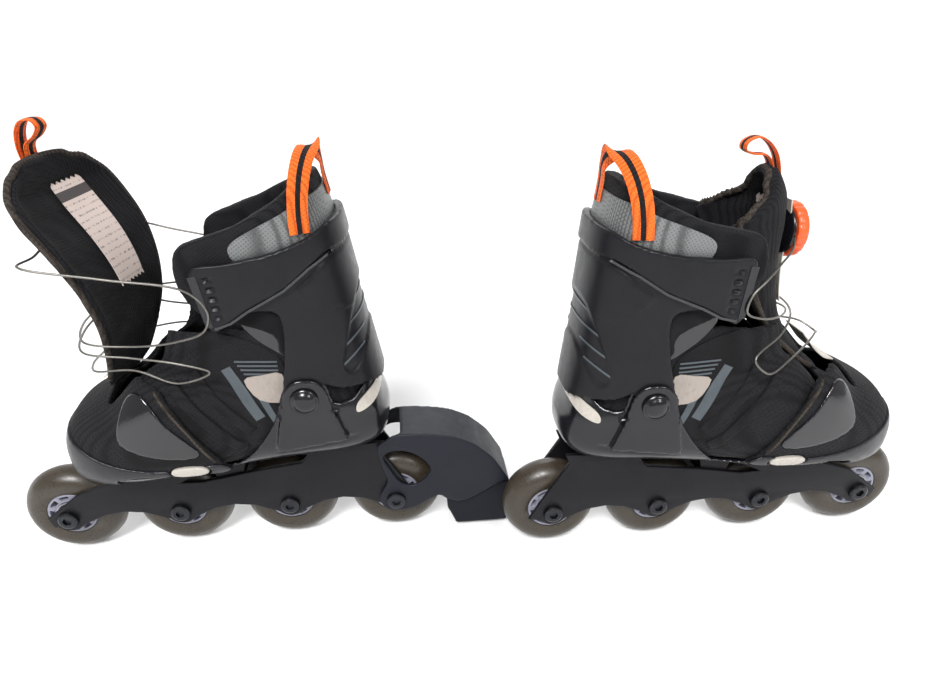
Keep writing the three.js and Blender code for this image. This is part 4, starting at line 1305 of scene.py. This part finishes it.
class SKATES_OT_wheels(SkateOperator, bpy.types.Operator):
    """Wheels: translucent tyres on spoked cores, bearings and axle bolts"""
    bl_idname = "skates.wheels"
    bl_label = "Wheels"

    def build(self, context):
        s = sizes()
        r, half = s.wheel_diameter / 2 / MM, s.wheel_width / 2 / MM
        for number in WHEELS:
            x = FIRST_AXLE + (number - 1) * PITCH
            body = "wheel_%d" % number
            profile = [(17.5, -half + 1.2), (20, -half + 0.3), (24, -half), (27.5, -half * 0.93),
                       (30.5, -half * 0.76), (33, -half * 0.5), (34.5, -half * 0.22), (r, 0),
                       (34.5, half * 0.22), (33, half * 0.5), (30.5, half * 0.76), (27.5,
                       half * 0.93),
                       (24, half), (20, half - 0.3), (17.5, half - 1.2), (17.5, -half + 1.2)]
            tyre = turned("tyre", profile, 72, (x, 0, AXLE_Z))
            put_both(shade(tyre, 50), "tyre_%d" % number, body, [tyre_finish()], "tyre",
                     ["tyre_%d" % number])
            hub = self.core(x, half)
            put_both(hub, "hub_%d" % number, body, ["hub"], "hub", ["hub_%d" % number])
            for y, tag in ((1, "outer"), (-1, "inner")):
                ring = [(radius, along * y) for radius, along in BEARING_RING]
                bearing = turned("bearing", ring, 48, (x, 0, AXLE_Z))
                put_both(shade(bearing), "bearing_%d_%s" % (number, tag), body, ["bearing"],
                         "steel")
            for side in SIDES:
                extra = 3.3 if side == "left" and number == 1 else 0
                put(axle_bolt(x, extra), side, "axle_%d" % number, "root", ["bolt"], "steel",
                    ["axle_%d" % number])

    def core(self, x, half):
        holes = []
        for k in range(9):
            a, b = 40 * k - 13, 40 * k + 13
            holes.append(arc(x, AXLE_Z, 15.4, a, b, 6) + arc(x, AXLE_Z, 12.2, b, a, 6))
        bore = arc(x, AXLE_Z, 10.9, 0, 345, 24)
        rim = arc(x, AXLE_Z, 17.2, 0, 354, 60)
        return plate("hub", rim, -half + 1.4, half - 1.4, 0.4, holes + [bore])


def axle_bolt(x, extra):
    seat = 17.3 + extra
    end = seat + 3
    profile = [(0, -end), (5.4, -end), (6.6, -end + 0.7), (7, -end + 1.8), (7, -seat), (4, -seat),
               (4, seat), (7, seat), (7, end - 1.8), (6.6, end - 0.7), (5.4, end), (0, end)]
    bolt = turned("axle", profile, 48, (x, 0, AXLE_Z))
    for y in (1, -1):
        reach = sorted(((end - 1.8) * y, (end + 2) * y))
        combine(bolt, side_block(arc(x, AXLE_Z, 3.3, 0, 300, 6), *reach), "DIFFERENCE")
    return shade(bolt, 30)


class SKATES_OT_frames(SkateOperator, bpy.types.Operator):
    """Wheel frames with their rails and bridges"""
    bl_idname = "skates.frames"
    bl_label = "Frames"

    def build(self, context):
        s = sizes()
        inner, outer = s.rail_inner / MM, s.rail_outer / MM
        slot = [(-58, 78), (-50, 80), (-14, 75.5), (20, 68), (35, 60.5), (20, 60), (-12, 66),
                (-52, 71.5)]
        holes = [slot] + [arc(FIRST_AXLE + i * PITCH, AXLE_Z, 4.6, 0, 345, 24) for i in range(4)]
        outline = rail_outline()
        pieces = []
        for low, high in ((inner, outer), (-outer, -inner)):
            pieces.append(plate("rail", outline, low, high, 0.9, holes))
        bridges = ([(-93, 84.9), (-65, 83.2), (-65, 74), (-72, 58), (-86, 58), (-93, 74)],
                   [(-13, 78.6), (13, 74.9), (8, 57), (-8, 57)],
                   [(66, 65.6), (81, 64.6), (86, 60), (84, 52), (73, 52)])
        for points in bridges:
            pieces.append(side_block(points, -inner - 1, inner + 1))
        activate(pieces[0])
        for piece in pieces:
            piece.select_set(True)
        bpy.ops.object.join()
        frame_obj = outward(context.object)
        put_both(shade(frame_obj, 30), "frame", "root", ["frame"], "plastic", ["frame"])


def rail_outline():
    low = []
    for i in (3, 2, 1, 0):
        x = FIRST_AXLE + i * PITCH
        low += arc(x, AXLE_Z, 11, -36, -144, 9)
        if i > 0:
            mid = x - PITCH / 2
            low += [(mid + 14, AXLE_Z + 1), (mid, AXLE_Z + 3), (mid - 14, AXLE_Z + 1)]
    return RAIL_TOP + low + [(-136, 30), (-122, 56), (-109, 78)]


class SKATES_OT_brake(SkateOperator, bpy.types.Operator):
    """Heel brake arm and pad of the left skate"""
    bl_idname = "skates.brake"
    bl_label = "Brake"

    def build(self, context):
        outline = [(-107, 82), (-112, 87), (-122, 92.5), (-139, 92), (-154, 90), (-165, 87),
                   (-177, 81),
                   (-184, 75), (-192, 67), (-200, 54), (-204, 46), (-198, 45), (-171, 29.5),
                   (-157, 32),
                   (-150, 36), (-134, 27), (-124, 24.5), (-113, 25), (-107.5, 31), (-107, 40),
                   (-113, 52), (-110, 64)]
        window = [(-111, 74), (-119, 79), (-130, 77), (-139, 71), (-145, 61), (-140, 52),
                  (-131, 47), (-122, 51), (-116, 62)]
        body = side_block(outline, -20.3, 20.3, 3)
        combine(body, side_block(window, -24, 24, 3), "DIFFERENCE")
        channel = [(-90, 0), (-90, 98), (-112, 98), (-140, 84), (-152, 72), (-157, 55), (-157, 0)]
        combine(body, side_block(channel, -17.3, 17.3), "DIFFERENCE")
        bore = turned("hole", [(0, -40), (4.6, -40), (4.6, 40), (0, 40)], 32,
                      (FIRST_AXLE, 0, AXLE_Z))
        combine(body, bore, "DIFFERENCE")
        soften(body, 1.0 * MM, 4)
        put(body, "left", "brake_arm", "root", ["brake"], "brake", ["brake_arm"])
        pad = side_block([(-157, 29), (-171, 27), (-198, 42.6), (-205, 43.5), (-207, 30), (-204, 4),
                          (-164, 4), (-160, 14), (-157.5, 19)], -16, 16)
        soften(pad, 0.9 * MM, 6)
        put(pad, "left", "brake_pad", "root", ["pad"], "pad", ["brake_pad"])


STEPS = (SKATES_OT_stage, SKATES_OT_laces, SKATES_OT_shells, SKATES_OT_cuffs, SKATES_OT_collars,
         SKATES_OT_uppers, SKATES_OT_toes, SKATES_OT_tongues, SKATES_OT_dials, SKATES_OT_loops,
         SKATES_OT_wheels, SKATES_OT_frames, SKATES_OT_brake)


class SKATES_PT_panel(bpy.types.Panel):
    """Lists the sizes, colours and building steps of the skates"""
    bl_idname = "SKATES_PT_panel"
    bl_label = "Inline Skates"
    bl_space_type = "VIEW_3D"
    bl_region_type = "UI"
    bl_category = "Skates"

    def draw(self, context):
        for group in (context.scene.skate_sizes, context.scene.skate_colours):
            box = self.layout.box()
            for key in type(group).__annotations__:
                box.prop(group, key)
        for step in STEPS:
            self.layout.operator(step.bl_idname)


CLASSES = (SkateSizes, SkateColours, *STEPS, SKATES_PT_panel)


def register():
    for item in CLASSES:
        bpy.utils.register_class(item)
    bpy.types.Scene.skate_sizes = bpy.props.PointerProperty(type=SkateSizes)
    bpy.types.Scene.skate_colours = bpy.props.PointerProperty(type=SkateColours)


def unregister():
    del bpy.types.Scene.skate_sizes
    del bpy.types.Scene.skate_colours
    for item in reversed(CLASSES):
        bpy.utils.unregister_class(item)


def main():
    register()
    for step in STEPS:
        group, action = step.bl_idname.split(".")
        getattr(getattr(bpy.ops, group), action)()
    for obj in FORMS.values():
        bpy.data.objects.remove(obj)
    FORMS.clear()


if __name__ == "__main__":
    main()
